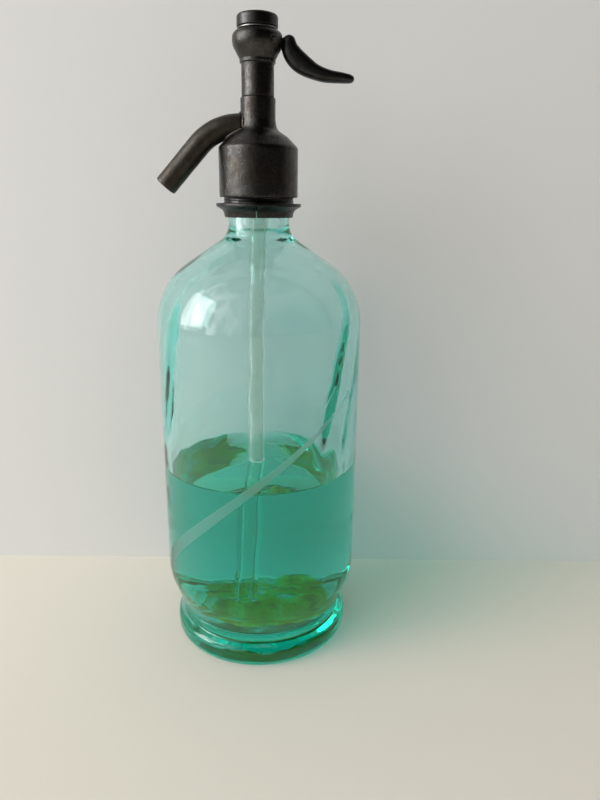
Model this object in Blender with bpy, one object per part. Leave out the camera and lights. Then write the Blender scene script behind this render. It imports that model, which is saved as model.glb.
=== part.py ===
"""A glass soda siphon with a pewter head, in metres, +Z up.

The bottle stands on the floor at z = 0 with its axis on the Z axis. The spout leaves towards -X and the
lever towards +X. Heights are built up from the floor, each piece from the one that carries it.
"""

import math

import bmesh
import bpy
from mathutils import Matrix, Vector

# Clearances shared by the whole part
GAP = 0.0003
OVERRUN = 0.002
ARC_ERROR = 0.00028
LEAST_COSINE = 0.6
EDGE_SHARE = 0.98
BOTTLE_SIDES = 48
HEAD_SIDES = 28
SMALL_SIDES = 16
TUBE_SIDES = 12

# Bottle, outside
BODY_RADIUS = 0.0500
SHOULDER_HEIGHT = 0.1879
SHOULDER_FILLET = 0.0350
SHOULDER_SLOPE = math.tan(math.radians(33.6))
FOOT_INSET = 0.0037
FOOT_HEIGHT = 0.0104
FOOT_FILLET = 0.0050
FOOT_CREST_FILLET = 0.0042
WAIST_INSET = 0.0076
WAIST_LOW = 0.0129
WAIST_HIGH = 0.0158
WAIST_FILLET = 0.0015
HEEL_HEIGHT = 0.0364
HEEL_FILLET = 0.0300
FOOT_RIM_WIDTH = 0.0088
PUNT_DEPTH = 0.0016
PUNT_SLOPE = 0.0200
PUNT_FILLET = 0.0100

# Bottle, inside
GLASS_WALL = 0.0047
BASE_THICKNESS = 0.0139
INNER_SHOULDER_FILLET = 0.0300
INNER_HEEL_FILLET = 0.0250
FLOOR_FILLET = 0.0060

# Bottle neck, which the two collar halves grip under its bead
NECK_RADIUS = 0.0144
NECK_FILLET = 0.0100
NECK_BORE = 0.0096
NECK_FLARE_RISE = 0.0083
GROOVE_RADIUS = 0.0130
GROOVE_STEP = 0.0024
GROOVE_LENGTH = 0.0080
BEAD_STEP = 0.0014
BEAD_RADIUS = 0.0146
BEAD_LENGTH = 0.0074
LIP_FILLET = 0.0011

# Water, up to its level in the photograph
WATER_LEVEL = 0.0960

# Dip tube, a little bent below the neck so that its foot stands off the axis
TUBE_RADIUS = 0.0045
TUBE_BORE = 0.0025
TUBE_FOOT_CLEARANCE = 0.0050
TUBE_FOOT_OFFSET = 0.0060
TUBE_BEND_DROP = 0.0200
TUBE_BEND_LENGTH = 0.0300
TUBE_FLANGE_WIDTH = 0.0030
TUBE_FLANGE_THICKNESS = 0.0016
TUBE_FLANGE_FILLET = 0.0005
TUBE_STEPS = 10

# Rubber washer under the tube's flange, and the gasket over it
WASHER_THICKNESS = 0.0020
GASKET_THICKNESS = 0.0014
GASKET_BORE = 0.0032
GASKET_INSET = 0.0004

# Split collar
COLLAR_BARREL_WALL = 0.0015
COLLAR_TOP_SETBACK = 0.0025
COLLAR_BEAD_CLEARANCE = 0.0004
FLANGE_WIDTH = 0.0036
FLANGE_EDGE = 0.0014
FLANGE_FLARE_DROP = 0.0050
FLANGE_FOOT_WALL = 0.0014
FLARE_CORNER_SHARE = 0.62
FLANGE_FILLET = 0.0005
FLARE_FILLET = 0.0030
SKIRT_STANDOFF = 0.0026

# Bell, with the lower half of the column in one casting
BELL_WALL = 0.0016
BELL_EDGE_FILLET = 0.0005
BELL_SHOULDER_RISE = 0.0052
BELL_SHOULDER_FILLET = 0.0022
BELL_CROWN_INSET = 0.0048
BELL_CROWN_RISE = 0.0047
BELL_CROWN_FILLET = 0.0080
COLUMN_ROOT_STEP = 0.0007
COLUMN_ROOT_RISE = 0.0030
COLUMN_ROOT_FILLET = 0.0040
COLUMN_BLEND_RISE = 0.0040
COLUMN_LENGTH = 0.0163
SOCKET_STEP = 0.0011
SOCKET_WALL = 0.0011
SOCKET_DEPTH = 0.0050

# Valve seat, pad, cup and screw
SEAT_SHOULDER = 0.0004
SEAT_BODY_LENGTH = 0.0042
SEAT_NOZZLE_WALL = 0.0014
SEAT_NOZZLE_RISE = 0.0027
SEAT_FLOW_GAP = 0.0007
SEAT_LIP_FILLET = 0.0006
PAD_OVERLAP = 0.0002
PAD_THICKNESS = 0.0025
CUP_WALL = 0.0008
CUP_CLEARANCE = 0.0005
CUP_ROOF = 0.0023
CUP_SKIRT_DROP = 0.0018
CUP_FILLET = 0.0006
SCREW_RADIUS = 0.0010
SCREW_HEAD_STEP = 0.0009
SCREW_HEAD_HEIGHT = 0.0013
SCREW_REACH = 0.0032

# Column and ball, which house the gland and the lever's pivot
UPPER_COLUMN_WALL = 0.0024
UPPER_COLUMN_LENGTH = 0.0138
BALL_FOOT_STEP = 0.0007
BALL_FOOT_HEIGHT = 0.0016
BALL_FOOT_FILLET = 0.0015
BALL_WALL = 0.0036
BALL_FLANK_RISE = 0.0057
BALL_CROWN_RISE = 0.0058
BALL_FLANK_FILLET = 0.0070
BALL_CROWN_FILLET = 0.0030
GLAND_FLOOR_RISE = 0.0035
PLUG_SEAT_DROP = 0.0020
SPIGOT_FILLET = 0.0003

# Gland
LEATHER_THICKNESS = 0.0032
NUT_LENGTH = 0.0060
NUT_SLOT_WIDTH = 0.0016
NUT_SLOT_DEPTH = 0.0014
STEM_CLEARANCE = 0.00035

# Valve stem
STEM_WALL = 0.00145
WINDOW_SIDE_CLEARANCE = 0.0002
WINDOW_LINTEL = 0.0002
SPRING_SEAT_EDGE = 0.0003
SPRING_SEAT_CLEARANCE = 0.0004
SPRING_SEAT_THICKNESS = 0.0010
STEM_NOSE_RADIUS = 0.0024
STEM_NOSE_LENGTH = 0.0018
STEM_NOSE_FILLET = 0.0005

# Return spring
SPRING_RADIUS = 0.0039
SPRING_WIRE = 0.0004
SPRING_LENGTH = 0.0062
SPRING_TURNS = 3.5
SPRING_STEPS_PER_TURN = 8
SPRING_SIDES = 6

# Cap and the ring under it
CAP_SHOULDER = 0.0018
CAP_HEIGHT = 0.0050
CAP_DOME = 0.0005
CAP_FILLET = 0.0013
CAP_PLUG_WALL = 0.0022
CAP_HOLLOW_CLEARANCE = 0.0006
CAP_RING_WIDTH = 0.0012
CAP_RING_THICKNESS = 0.0006
CAP_RING_FILLET = 0.0002

# Lever: a tongue in the stem's window, an eye on the pin and a horn for the thumb
EYE_STANDOFF = 0.00205
PIN_RADIUS = 0.0012
TONGUE_THICKNESS = 0.0030
TONGUE_SIDE_CLEARANCE = 0.0004
TONGUE_TIP_RADIUS = 0.0018
TONGUE_NECK_HALF = 0.0009
EYE_WALL = 0.0013
ARM_HALF_HEIGHT = 0.0023
ARM_OVERLAP = 0.0010
TIP_STEPS = 5
EYE_STEPS = 4
SLOT_BELOW_ARM = 0.0018
SLOT_ABOVE_EYE = 0.0005
HORN_STANDOFF = 0.0027
HORN_ROOT_RISE = 0.0007
HORN_REACH = 0.0294
HORN_DROP = 0.0149
HORN_HALF_DEPTH = 0.0044
HORN_HALF_WIDTH = 0.0042
HORN_ROOT_ANGLE = math.radians(60)
HORN_SIDES = 14
HORN_CAP_STEPS = 3
HORN_CHANNEL_SHARE = 0.10

# Along, down, depth and width of the horn's sections, as shares of its reach, drop, depth and width
HORN_SECTION_SHARES = (
    (0.000, 0.000, 0.68, 0.68),
    (0.017, 0.181, 0.87, 0.80),
    (0.071, 0.362, 0.97, 0.90),
    (0.160, 0.530, 1.00, 0.96),
    (0.276, 0.678, 0.91, 1.00),
    (0.401, 0.799, 0.76, 1.00),
    (0.541, 0.886, 0.67, 1.00),
    (0.658, 0.926, 0.59, 0.98),
    (0.770, 0.946, 0.54, 0.94),
    (0.864, 0.966, 0.48, 0.87),
    (0.942, 0.983, 0.40, 0.72),
)

# Spout
SPOUT_RADIUS = 0.0053
SPOUT_BORE = 0.0026
SPOUT_RISE = 0.0047
SPOUT_CORNER_X = -0.0197
SPOUT_REACH = 0.0360
SPOUT_ANGLE = math.radians(48)
SPOUT_BEND_RADIUS = 0.0260
SPOUT_BEND_STEPS = 6
SPOUT_SIDES = 18
SPOUT_MOUTH_FILLET = 0.0005

# Radii that follow their neighbours, from the body inwards and from the screw outwards
FOOT_RADIUS = BODY_RADIUS - FOOT_INSET
WAIST_RADIUS = BODY_RADIUS - WAIST_INSET
PUNT_RADIUS = FOOT_RADIUS - FOOT_RIM_WIDTH
PUNT_FLAT_RADIUS = PUNT_RADIUS - PUNT_SLOPE
HEEL_SLOPE = (BODY_RADIUS - WAIST_RADIUS) / (HEEL_HEIGHT - WAIST_HIGH)
TUBE_FLANGE_RADIUS = TUBE_RADIUS + TUBE_FLANGE_WIDTH
GASKET_RADIUS = BEAD_RADIUS - GASKET_INSET
SCREW_HOLE = SCREW_RADIUS + GAP
SCREW_HEAD_RADIUS = SCREW_RADIUS + SCREW_HEAD_STEP
SEAT_BORE = SCREW_HEAD_RADIUS + SEAT_FLOW_GAP
SEAT_NOZZLE_RADIUS = SEAT_BORE + SEAT_NOZZLE_WALL
PAD_RADIUS = SEAT_NOZZLE_RADIUS + PAD_OVERLAP
CUP_BORE = PAD_RADIUS + GAP
CUP_RADIUS = CUP_BORE + CUP_WALL
CHAMBER_RADIUS = CUP_RADIUS + CUP_CLEARANCE
SEAT_RADIUS = CHAMBER_RADIUS + SEAT_SHOULDER
SOCKET_RADIUS = CHAMBER_RADIUS + SOCKET_STEP
COLUMN_RADIUS = SOCKET_RADIUS + SOCKET_WALL
COLUMN_ROOT_RADIUS = COLUMN_RADIUS + COLUMN_ROOT_STEP
COLLAR_BARREL_BORE = BEAD_RADIUS + COLLAR_BEAD_CLEARANCE
COLLAR_BARREL_RADIUS = COLLAR_BARREL_BORE + COLLAR_BARREL_WALL
COLLAR_MOUTH_RADIUS = NECK_RADIUS + COLLAR_BEAD_CLEARANCE
FLANGE_RADIUS = COLLAR_BARREL_RADIUS + FLANGE_WIDTH
FLANGE_FOOT_RADIUS = COLLAR_MOUTH_RADIUS + FLANGE_FOOT_WALL
BELL_BORE = COLLAR_BARREL_RADIUS + GAP
BELL_RADIUS = BELL_BORE + BELL_WALL
BELL_CROWN_RADIUS = BELL_RADIUS - BELL_CROWN_INSET
STEM_RADIUS = SCREW_HOLE + STEM_WALL
STEM_HOLE = STEM_RADIUS + STEM_CLEARANCE
SPRING_SEAT_RADIUS = SPRING_RADIUS + SPRING_WIRE + SPRING_SEAT_EDGE
HOUSING_BORE = SPRING_SEAT_RADIUS + SPRING_SEAT_CLEARANCE
UPPER_COLUMN_RADIUS = HOUSING_BORE + UPPER_COLUMN_WALL
BALL_FOOT_RADIUS = UPPER_COLUMN_RADIUS + BALL_FOOT_STEP
CAP_HOLLOW_RADIUS = SPRING_SEAT_RADIUS + CAP_HOLLOW_CLEARANCE
CAP_PLUG_RADIUS = CAP_HOLLOW_RADIUS + CAP_PLUG_WALL
CAP_RADIUS = CAP_PLUG_RADIUS + CAP_SHOULDER
PLUG_BORE = CAP_PLUG_RADIUS + GAP
CAP_RING_RADIUS = PLUG_BORE + CAP_RING_WIDTH
BALL_RADIUS = PLUG_BORE + BALL_WALL
PIN_HOLE = PIN_RADIUS + GAP
EYE_RADIUS = PIN_HOLE + EYE_WALL
PIVOT_X = STEM_RADIUS + EYE_STANDOFF + EYE_RADIUS
HORN_ROOT_X = BALL_RADIUS + HORN_STANDOFF
ARM_END_X = HORN_ROOT_X + ARM_OVERLAP
WINDOW_HALF_HEIGHT = TONGUE_TIP_RADIUS + GAP
TONGUE_HALF = TONGUE_THICKNESS / 2

# Heights, from the floor up
NECK_CORNER_Z = SHOULDER_HEIGHT + (BODY_RADIUS - NECK_RADIUS) * SHOULDER_SLOPE
GROOVE_FOOT_Z = NECK_CORNER_Z + NECK_FLARE_RISE
GROOVE_LOW_Z = GROOVE_FOOT_Z + GROOVE_STEP
GROOVE_TOP_Z = GROOVE_LOW_Z + GROOVE_LENGTH
BEAD_Z = GROOVE_TOP_Z + BEAD_STEP
LIP_Z = BEAD_Z + BEAD_LENGTH
FLOOR_Z = PUNT_DEPTH + BASE_THICKNESS
WASHER_Z = LIP_Z + GAP
FLANGE_SEAT_Z = WASHER_Z + WASHER_THICKNESS
TUBE_TOP_Z = FLANGE_SEAT_Z + GAP + TUBE_FLANGE_THICKNESS
GASKET_Z = TUBE_TOP_Z + GAP
CROWN_UNDER_Z = GASKET_Z + GASKET_THICKNESS + GAP
COLLAR_FOOT_Z = GROOVE_FOOT_Z - COLLAR_BEAD_CLEARANCE
FLANGE_TOP_Z = COLLAR_FOOT_Z + FLANGE_FLARE_DROP + FLANGE_EDGE
BELL_FOOT_Z = FLANGE_TOP_Z + SKIRT_STANDOFF
BELL_TOP_Z = CROWN_UNDER_Z + BELL_SHOULDER_RISE
BELL_CROWN_Z = BELL_TOP_Z + BELL_CROWN_RISE
COLUMN_ROOT_Z = BELL_CROWN_Z + COLUMN_ROOT_RISE
COLUMN_Z = COLUMN_ROOT_Z + COLUMN_BLEND_RISE
COLUMN_TOP_Z = BELL_CROWN_Z + COLUMN_LENGTH
SEAT_TOP_Z = CROWN_UNDER_Z + SEAT_BODY_LENGTH
NOZZLE_Z = SEAT_TOP_Z + SEAT_NOZZLE_RISE
PAD_Z = NOZZLE_Z + GAP
PAD_TOP_Z = PAD_Z + PAD_THICKNESS
CUP_TOP_Z = PAD_TOP_Z + GAP + CUP_ROOF
STEM_FOOT_Z = CUP_TOP_Z + GAP
SOCKET_Z = COLUMN_TOP_Z - SOCKET_DEPTH
SPIGOT_Z = SOCKET_Z + GAP
HOUSING_Z = COLUMN_TOP_Z + GAP
GLAND_Z = HOUSING_Z + GLAND_FLOOR_RISE
LEATHER_Z = GLAND_Z + GAP
NUT_Z = LEATHER_Z + LEATHER_THICKNESS + GAP
BALL_FOOT_Z = HOUSING_Z + UPPER_COLUMN_LENGTH
BALL_FLANK_Z = BALL_FOOT_Z + BALL_FOOT_HEIGHT
BALL_SIDE_Z = BALL_FLANK_Z + BALL_FLANK_RISE
BALL_TOP_Z = BALL_SIDE_Z + BALL_CROWN_RISE
PLUG_SEAT_Z = BALL_TOP_Z - PLUG_SEAT_DROP
PLUG_END_Z = PLUG_SEAT_Z + GAP
SPRING_SEAT_Z = PLUG_END_Z
SPRING_SEAT_UNDER_Z = SPRING_SEAT_Z - SPRING_SEAT_THICKNESS
PIVOT_Z = SPRING_SEAT_UNDER_Z - WINDOW_LINTEL - WINDOW_HALF_HEIGHT
CAP_RING_Z = BALL_TOP_Z + GAP
CAP_Z = CAP_RING_Z + CAP_RING_THICKNESS + GAP
SPRING_Z = SPRING_SEAT_Z + GAP
SPRING_TOP_Z = SPRING_Z + SPRING_LENGTH
CAP_CEILING_Z = SPRING_TOP_Z + GAP
SPOUT_Z = BELL_CROWN_Z + SPOUT_RISE
TUBE_FOOT_Z = FLOOR_Z + TUBE_FOOT_CLEARANCE


def clear_scene():
    for thing in list(bpy.data.objects):
        bpy.data.objects.remove(thing, do_unlink=True)


def material(name, colour, roughness, metallic, transmission=0.0):
    made = bpy.data.materials.new(name)
    made.use_nodes = True
    shader = made.node_tree.nodes["Principled BSDF"]
    shader.inputs["Base Color"].default_value = (*colour, 1.0)
    shader.inputs["Roughness"].default_value = roughness
    shader.inputs["Metallic"].default_value = metallic
    shader.inputs["Transmission Weight"].default_value = transmission
    return made


def corner_reaches(corners):
    """How far each corner's arc takes up of its edges, cut back where two arcs would meet."""
    spots = [Vector(corner[:2]) for corner in corners]
    reaches = [0.0] * len(corners)
    for index in range(1, len(corners) - 1):
        before = spots[index - 1] - spots[index]
        after = spots[index + 1] - spots[index]
        reaches[index] = corners[index][2] / math.tan(before.angle(after) / 2)
    for index in range(1, len(corners)):
        edge = (spots[index] - spots[index - 1]).length * EDGE_SHARE
        wanted = reaches[index] + reaches[index - 1]
        if wanted > edge:
            reaches[index] *= edge / wanted
            reaches[index - 1] *= edge / wanted
    return reaches


def rounded(corners):
    """Turns each corner (radius, height, fillet) into an arc, or keeps it where the fillet is 0."""
    points = []
    for index, reach in enumerate(corner_reaches(corners)):
        here = Vector(corners[index][:2])
        if reach <= 0:
            points.append(here)
            continue
        before = (Vector(corners[index - 1][:2]) - here).normalized()
        after = (Vector(corners[index + 1][:2]) - here).normalized()
        half = before.angle(after) / 2
        fillet = reach * math.tan(half)
        centre = here + (before + after).normalized() * (fillet / math.sin(half))
        start = here + before * reach - centre
        turn = start.angle_signed(here + after * reach - centre)
        step_angle = 2 * math.acos(max(LEAST_COSINE, 1 - ARC_ERROR / fillet))
        steps = max(1, round(abs(turn) / step_angle))
        for step in range(steps + 1):
            angle = -turn * step / steps
            spun = Vector((start.x * math.cos(angle) - start.y * math.sin(angle),
                           start.x * math.sin(angle) + start.y * math.cos(angle)))
            points.append(centre + spun)
    return points


def finish(name, mesh_builder, look, origin=(0, 0, 0)):
    """Closes a bmesh built in world space into an object whose origin is at the given point."""
    bmesh.ops.triangulate(mesh_builder, faces=mesh_builder.faces, ngon_method="EAR_CLIP")
    bmesh.ops.recalc_face_normals(mesh_builder, faces=mesh_builder.faces)
    mesh = bpy.data.meshes.new(name)
    mesh_builder.to_mesh(mesh)
    mesh_builder.free()
    mesh.transform(Matrix.Translation(-Vector(origin)))
    mesh.shade_smooth()
    mesh.set_sharp_from_angle(angle=math.radians(35))
    mesh.materials.append(look)
    thing = bpy.data.objects.new(name, mesh)
    thing.location = origin
    bpy.context.collection.objects.link(thing)
    return thing


def lathe(profile, sides, start=0.0, sweep=math.tau):
    """Spins a profile of (radius, height) about Z. A full turn closes on itself, and less is capped."""
    made = bmesh.new()
    full = sweep >= math.tau
    stops = sides if full else sides + 1
    closed = profile[0].x > 0
    columns = []
    for point in profile:
        if point.x <= 0:
            columns.append([made.verts.new((0, 0, point.y))])
            continue
        ring = []
        for stop in range(stops):
            angle = start + sweep * stop / sides
            ring.append(made.verts.new((point.x * math.cos(angle), point.x * math.sin(angle), point.y)))
        columns.append(ring)
    pairs = list(zip(columns, columns[1:]))
    if closed:
        pairs.append((columns[-1], columns[0]))
    for low, high in pairs:
        for stop in range(stops if full else sides):
            after = (stop + 1) % stops
            corners = [low[stop % len(low)], low[after % len(low)],
                       high[after % len(high)], high[stop % len(high)]]
            made.faces.new(list(dict.fromkeys(corners)))
    if not full:
        made.faces.new([ring[0] for ring in columns])
        made.faces.new([ring[-1] for ring in columns])
    return made


def skin(rings, closed=False):
    """Joins rings of points into one skin. It runs back to the first ring, or is capped at both ends."""
    made = bmesh.new()
    loops = [[made.verts.new(point) for point in ring] for ring in rings]
    pairs = list(zip(loops, loops[1:]))
    if closed:
        pairs.append((loops[-1], loops[0]))
    for low, high in pairs:
        count = max(len(low), len(high))
        for index in range(count):
            after = (index + 1) % count
            corners = [low[index % len(low)], low[after % len(low)],
                       high[after % len(high)], high[index % len(high)]]
            made.faces.new(list(dict.fromkeys(corners)))
    if not closed:
        for loop in (loops[0], loops[-1]):
            if len(loop) > 1:
                made.faces.new(loop)
    return made


def circle(centre, along, across, radius, sides):
    """A ring of points round a path that lies in a plane square to across."""
    across = Vector(across)
    other = Vector(along).cross(across).normalized()
    ring = []
    for side in range(sides):
        angle = math.tau * side / sides
        ring.append(Vector(centre) + (across * math.cos(angle) + other * math.sin(angle)) * radius)
    return ring


def directions(path):
    """The direction of a path at each of its points."""
    last = len(path) - 1
    return [(path[min(i + 1, last)] - path[max(i - 1, 0)]).normalized() for i in range(last + 1)]


def pipe_rings(path, radius, sides):
    across = Vector((0, 1, 0))
    return [circle(spot, along, across, radius, sides) for spot, along in zip(path, directions(path))]


def cut(target, cutter, operation="DIFFERENCE"):
    """Cuts target with a hidden tool, or joins the tool to it."""
    cutter.hide_render = True
    cutter.display_type = "WIRE"
    tool = target.modifiers.new(cutter.name, "BOOLEAN")
    tool.operation = operation
    tool.solver = "EXACT"
    tool.object = cutter


def block(name, low, high):
    """A plain box tool between two corners."""
    made = bmesh.new()
    bmesh.ops.create_cube(made, size=1.0)
    low = Vector(low)
    high = Vector(high)
    for vert in made.verts:
        vert.co = Vector(low[i] + (high[i] - low[i]) * (vert.co[i] + 0.5) for i in range(3))
    return finish(name, made, TOOL)


def rod_along_y(name, x, z, radius, half_length):
    path = [Vector((x, -half_length, z)), Vector((x, half_length, z))]
    across = Vector((1, 0, 0))
    rings = [circle(spot, (0, 1, 0), across, radius, SMALL_SIDES) for spot in path]
    return skin(rings)


def bottle_outside():
    return [
        (0, PUNT_DEPTH, 0),
        (PUNT_FLAT_RADIUS, PUNT_DEPTH, PUNT_FILLET),
        (PUNT_RADIUS, 0, PUNT_FILLET),
        (FOOT_RADIUS, 0, FOOT_FILLET),
        (FOOT_RADIUS, FOOT_HEIGHT, FOOT_CREST_FILLET),
        (WAIST_RADIUS, WAIST_LOW, WAIST_FILLET),
        (WAIST_RADIUS, WAIST_HIGH, WAIST_FILLET),
        (BODY_RADIUS, HEEL_HEIGHT, HEEL_FILLET),
        (BODY_RADIUS, SHOULDER_HEIGHT, SHOULDER_FILLET),
        (NECK_RADIUS, NECK_CORNER_Z, NECK_FILLET),
        (NECK_RADIUS, GROOVE_FOOT_Z, LIP_FILLET),
        (GROOVE_RADIUS, GROOVE_LOW_Z, LIP_FILLET),
        (GROOVE_RADIUS, GROOVE_TOP_Z, 0),
        (BEAD_RADIUS, BEAD_Z, 0),
        (BEAD_RADIUS, LIP_Z, LIP_FILLET),
        (NECK_BORE, LIP_Z, LIP_FILLET),
    ]


def bottle_inside(clearance):
    """The cavity from the neck down to the middle of its floor, drawn in by a clearance."""
    wall = GLASS_WALL + clearance
    body = BODY_RADIUS - wall
    neck = NECK_BORE - clearance
    floor = FLOOR_Z + clearance
    slant = math.hypot(1, SHOULDER_SLOPE)
    lean = math.hypot(1, HEEL_SLOPE)
    drop = wall * (slant - SHOULDER_SLOPE)
    neck_z = NECK_CORNER_Z - drop + (NECK_RADIUS - neck - wall) * SHOULDER_SLOPE
    heel_z = HEEL_HEIGHT + wall * (lean - 1) / HEEL_SLOPE
    floor_radius = body - (heel_z - floor) * HEEL_SLOPE
    return [
        (neck, neck_z, NECK_FILLET / 2),
        (body, SHOULDER_HEIGHT - drop, INNER_SHOULDER_FILLET),
        (body, heel_z, INNER_HEEL_FILLET),
        (floor_radius, floor, FLOOR_FILLET),
        (0, floor, 0),
    ]


def make_bottle():
    finish("bottle", lathe(rounded(bottle_outside() + bottle_inside(0)), BOTTLE_SIDES), GLASS)


def tube_x(height):
    """How far the dip tube's centre stands off the axis at a height."""
    top = NECK_CORNER_Z - TUBE_BEND_DROP + TUBE_BEND_LENGTH
    lean = TUBE_FOOT_OFFSET / (top - TUBE_BEND_LENGTH / 2 - TUBE_FOOT_Z)
    fall = top - height
    if fall <= 0:
        return 0.0
    if fall < TUBE_BEND_LENGTH:
        return -lean * fall ** 2 / (2 * TUBE_BEND_LENGTH)
    return -lean * (fall - TUBE_BEND_LENGTH / 2)


def tube_path(top, foot, steps):
    heights = [top + (foot - top) * step / steps for step in range(steps + 1)]
    return [Vector((tube_x(height), 0, height)) for height in heights]


def water_profile():
    surface = Vector((BODY_RADIUS - GLASS_WALL - GAP, WATER_LEVEL))
    below = [point for point in rounded(bottle_inside(GAP)) if point.y < WATER_LEVEL]
    return [Vector((0, WATER_LEVEL)), surface] + below


def make_water():
    water = finish("water", lathe(water_profile(), BOTTLE_SIDES), WATER)
    path = tube_path(WATER_LEVEL + OVERRUN, TUBE_FOOT_Z - GAP, 2)
    outer = pipe_rings(path, TUBE_RADIUS + GAP, TUBE_SIDES)
    inner = pipe_rings(path, TUBE_BORE - GAP, TUBE_SIDES)
    cut(water, finish("water_tube_cutter", skin(outer + inner[::-1], closed=True), TOOL))


def make_dip_tube():
    seat = FLANGE_SEAT_Z + GAP
    path = [Vector((0, 0, TUBE_TOP_Z))] + tube_path(seat - TUBE_FLANGE_FILLET, TUBE_FOOT_Z, TUBE_STEPS)
    outer = pipe_rings(path[1:], TUBE_RADIUS, TUBE_SIDES)
    inner = pipe_rings(path, TUBE_BORE, TUBE_SIDES)
    down = Vector((0, 0, -1))
    across = Vector((0, 1, 0))
    collar = [
        circle((0, 0, TUBE_TOP_Z), down, across, TUBE_FLANGE_RADIUS - TUBE_FLANGE_FILLET, TUBE_SIDES),
        circle((0, 0, TUBE_TOP_Z - TUBE_FLANGE_FILLET), down, across, TUBE_FLANGE_RADIUS, TUBE_SIDES),
        circle((0, 0, seat), down, across, TUBE_FLANGE_RADIUS, TUBE_SIDES),
        circle((0, 0, seat), down, across, TUBE_RADIUS, TUBE_SIDES),
    ]
    finish("dip_tube", skin(collar + outer + inner[::-1], closed=True), TUBE_GLASS)


def make_dip_tube_washer():
    recess = TUBE_FLANGE_RADIUS + GAP
    profile = rounded([
        (TUBE_RADIUS + GAP, WASHER_Z, 0),
        (GASKET_RADIUS, WASHER_Z, 0),
        (GASKET_RADIUS, TUBE_TOP_Z, 0),
        (recess, TUBE_TOP_Z, 0),
        (recess, FLANGE_SEAT_Z, 0),
        (TUBE_RADIUS + GAP, FLANGE_SEAT_Z, 0),
    ])
    finish("dip_tube_washer", lathe(profile, SMALL_SIDES), RUBBER)


def make_neck_gasket():
    top = GASKET_Z + GASKET_THICKNESS
    profile = rounded([
        (GASKET_BORE, GASKET_Z, 0),
        (GASKET_RADIUS, GASKET_Z, 0),
        (GASKET_RADIUS, top, 0),
        (GASKET_BORE, top, 0),
    ])
    finish("neck_gasket", lathe(profile, SMALL_SIDES), RUBBER)


def collar_profile():
    shoulder = GROOVE_TOP_Z - COLLAR_BEAD_CLEARANCE
    top = LIP_Z - COLLAR_TOP_SETBACK
    grip = GROOVE_RADIUS + COLLAR_BEAD_CLEARANCE
    flare_z = COLLAR_FOOT_Z + FLANGE_FLARE_DROP * FLARE_CORNER_SHARE
    return rounded([
        (COLLAR_MOUTH_RADIUS, COLLAR_FOOT_Z, 0),
        (FLANGE_FOOT_RADIUS, COLLAR_FOOT_Z, FLANGE_FILLET),
        (FLANGE_FOOT_RADIUS + FLANGE_FILLET, flare_z, FLARE_FILLET),
        (FLANGE_RADIUS, COLLAR_FOOT_Z + FLANGE_FLARE_DROP, FLANGE_FILLET),
        (FLANGE_RADIUS, FLANGE_TOP_Z, FLANGE_FILLET),
        (COLLAR_BARREL_RADIUS, FLANGE_TOP_Z, 0),
        (COLLAR_BARREL_RADIUS, top, FLANGE_FILLET),
        (COLLAR_BARREL_BORE, top, 0),
        (COLLAR_BARREL_BORE, BEAD_Z - COLLAR_BEAD_CLEARANCE, 0),
        (grip, shoulder, 0),
        (grip, GROOVE_LOW_Z + COLLAR_BEAD_CLEARANCE, 0),
        (COLLAR_MOUTH_RADIUS, GROOVE_FOOT_Z + COLLAR_BEAD_CLEARANCE, 0),
    ])


def make_collar_halves():
    trim = GAP / 2 / GROOVE_RADIUS
    for name, start in (("collar_left", math.pi / 2), ("collar_right", -math.pi / 2)):
        made = lathe(collar_profile(), HEAD_SIDES // 2, start + trim, math.pi - 2 * trim)
        finish(name, made, PEWTER_DARK)


def bell_outside(clearance):
    """The bell's outer line from its foot to the column's top, moved out by a clearance."""
    return [
        (BELL_RADIUS + clearance, BELL_FOOT_Z, BELL_EDGE_FILLET),
        (BELL_RADIUS + clearance, BELL_TOP_Z + clearance, BELL_SHOULDER_FILLET),
        (BELL_CROWN_RADIUS + clearance, BELL_CROWN_Z + clearance, BELL_CROWN_FILLET),
        (COLUMN_ROOT_RADIUS + clearance, COLUMN_ROOT_Z + clearance, COLUMN_ROOT_FILLET),
        (COLUMN_RADIUS + clearance, COLUMN_Z, 0),
        (COLUMN_RADIUS + clearance, COLUMN_TOP_Z, 0),
    ]


def make_bell_casting():
    seat_hole = SEAT_RADIUS + GAP
    rim = [(BELL_BORE, BELL_FOOT_Z, 0)]
    inside = [
        (SOCKET_RADIUS, COLUMN_TOP_Z, 0),
        (SOCKET_RADIUS, SOCKET_Z, 0),
        (CHAMBER_RADIUS, SOCKET_Z, 0),
        (CHAMBER_RADIUS, SEAT_TOP_Z + GAP, 0),
        (seat_hole, SEAT_TOP_Z + GAP, 0),
        (seat_hole, CROWN_UNDER_Z, 0),
        (BELL_BORE, CROWN_UNDER_Z, 0),
    ]
    bell = finish("bell_casting", lathe(rounded(rim + bell_outside(0) + inside), HEAD_SIDES), PEWTER)
    path = [Vector((-BELL_RADIUS, 0, SPOUT_Z)), Vector((OVERRUN - CHAMBER_RADIUS, 0, SPOUT_Z))]
    cut(bell, finish("bell_port_cutter", skin(pipe_rings(path, SPOUT_BORE, TUBE_SIDES)), TOOL))


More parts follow.
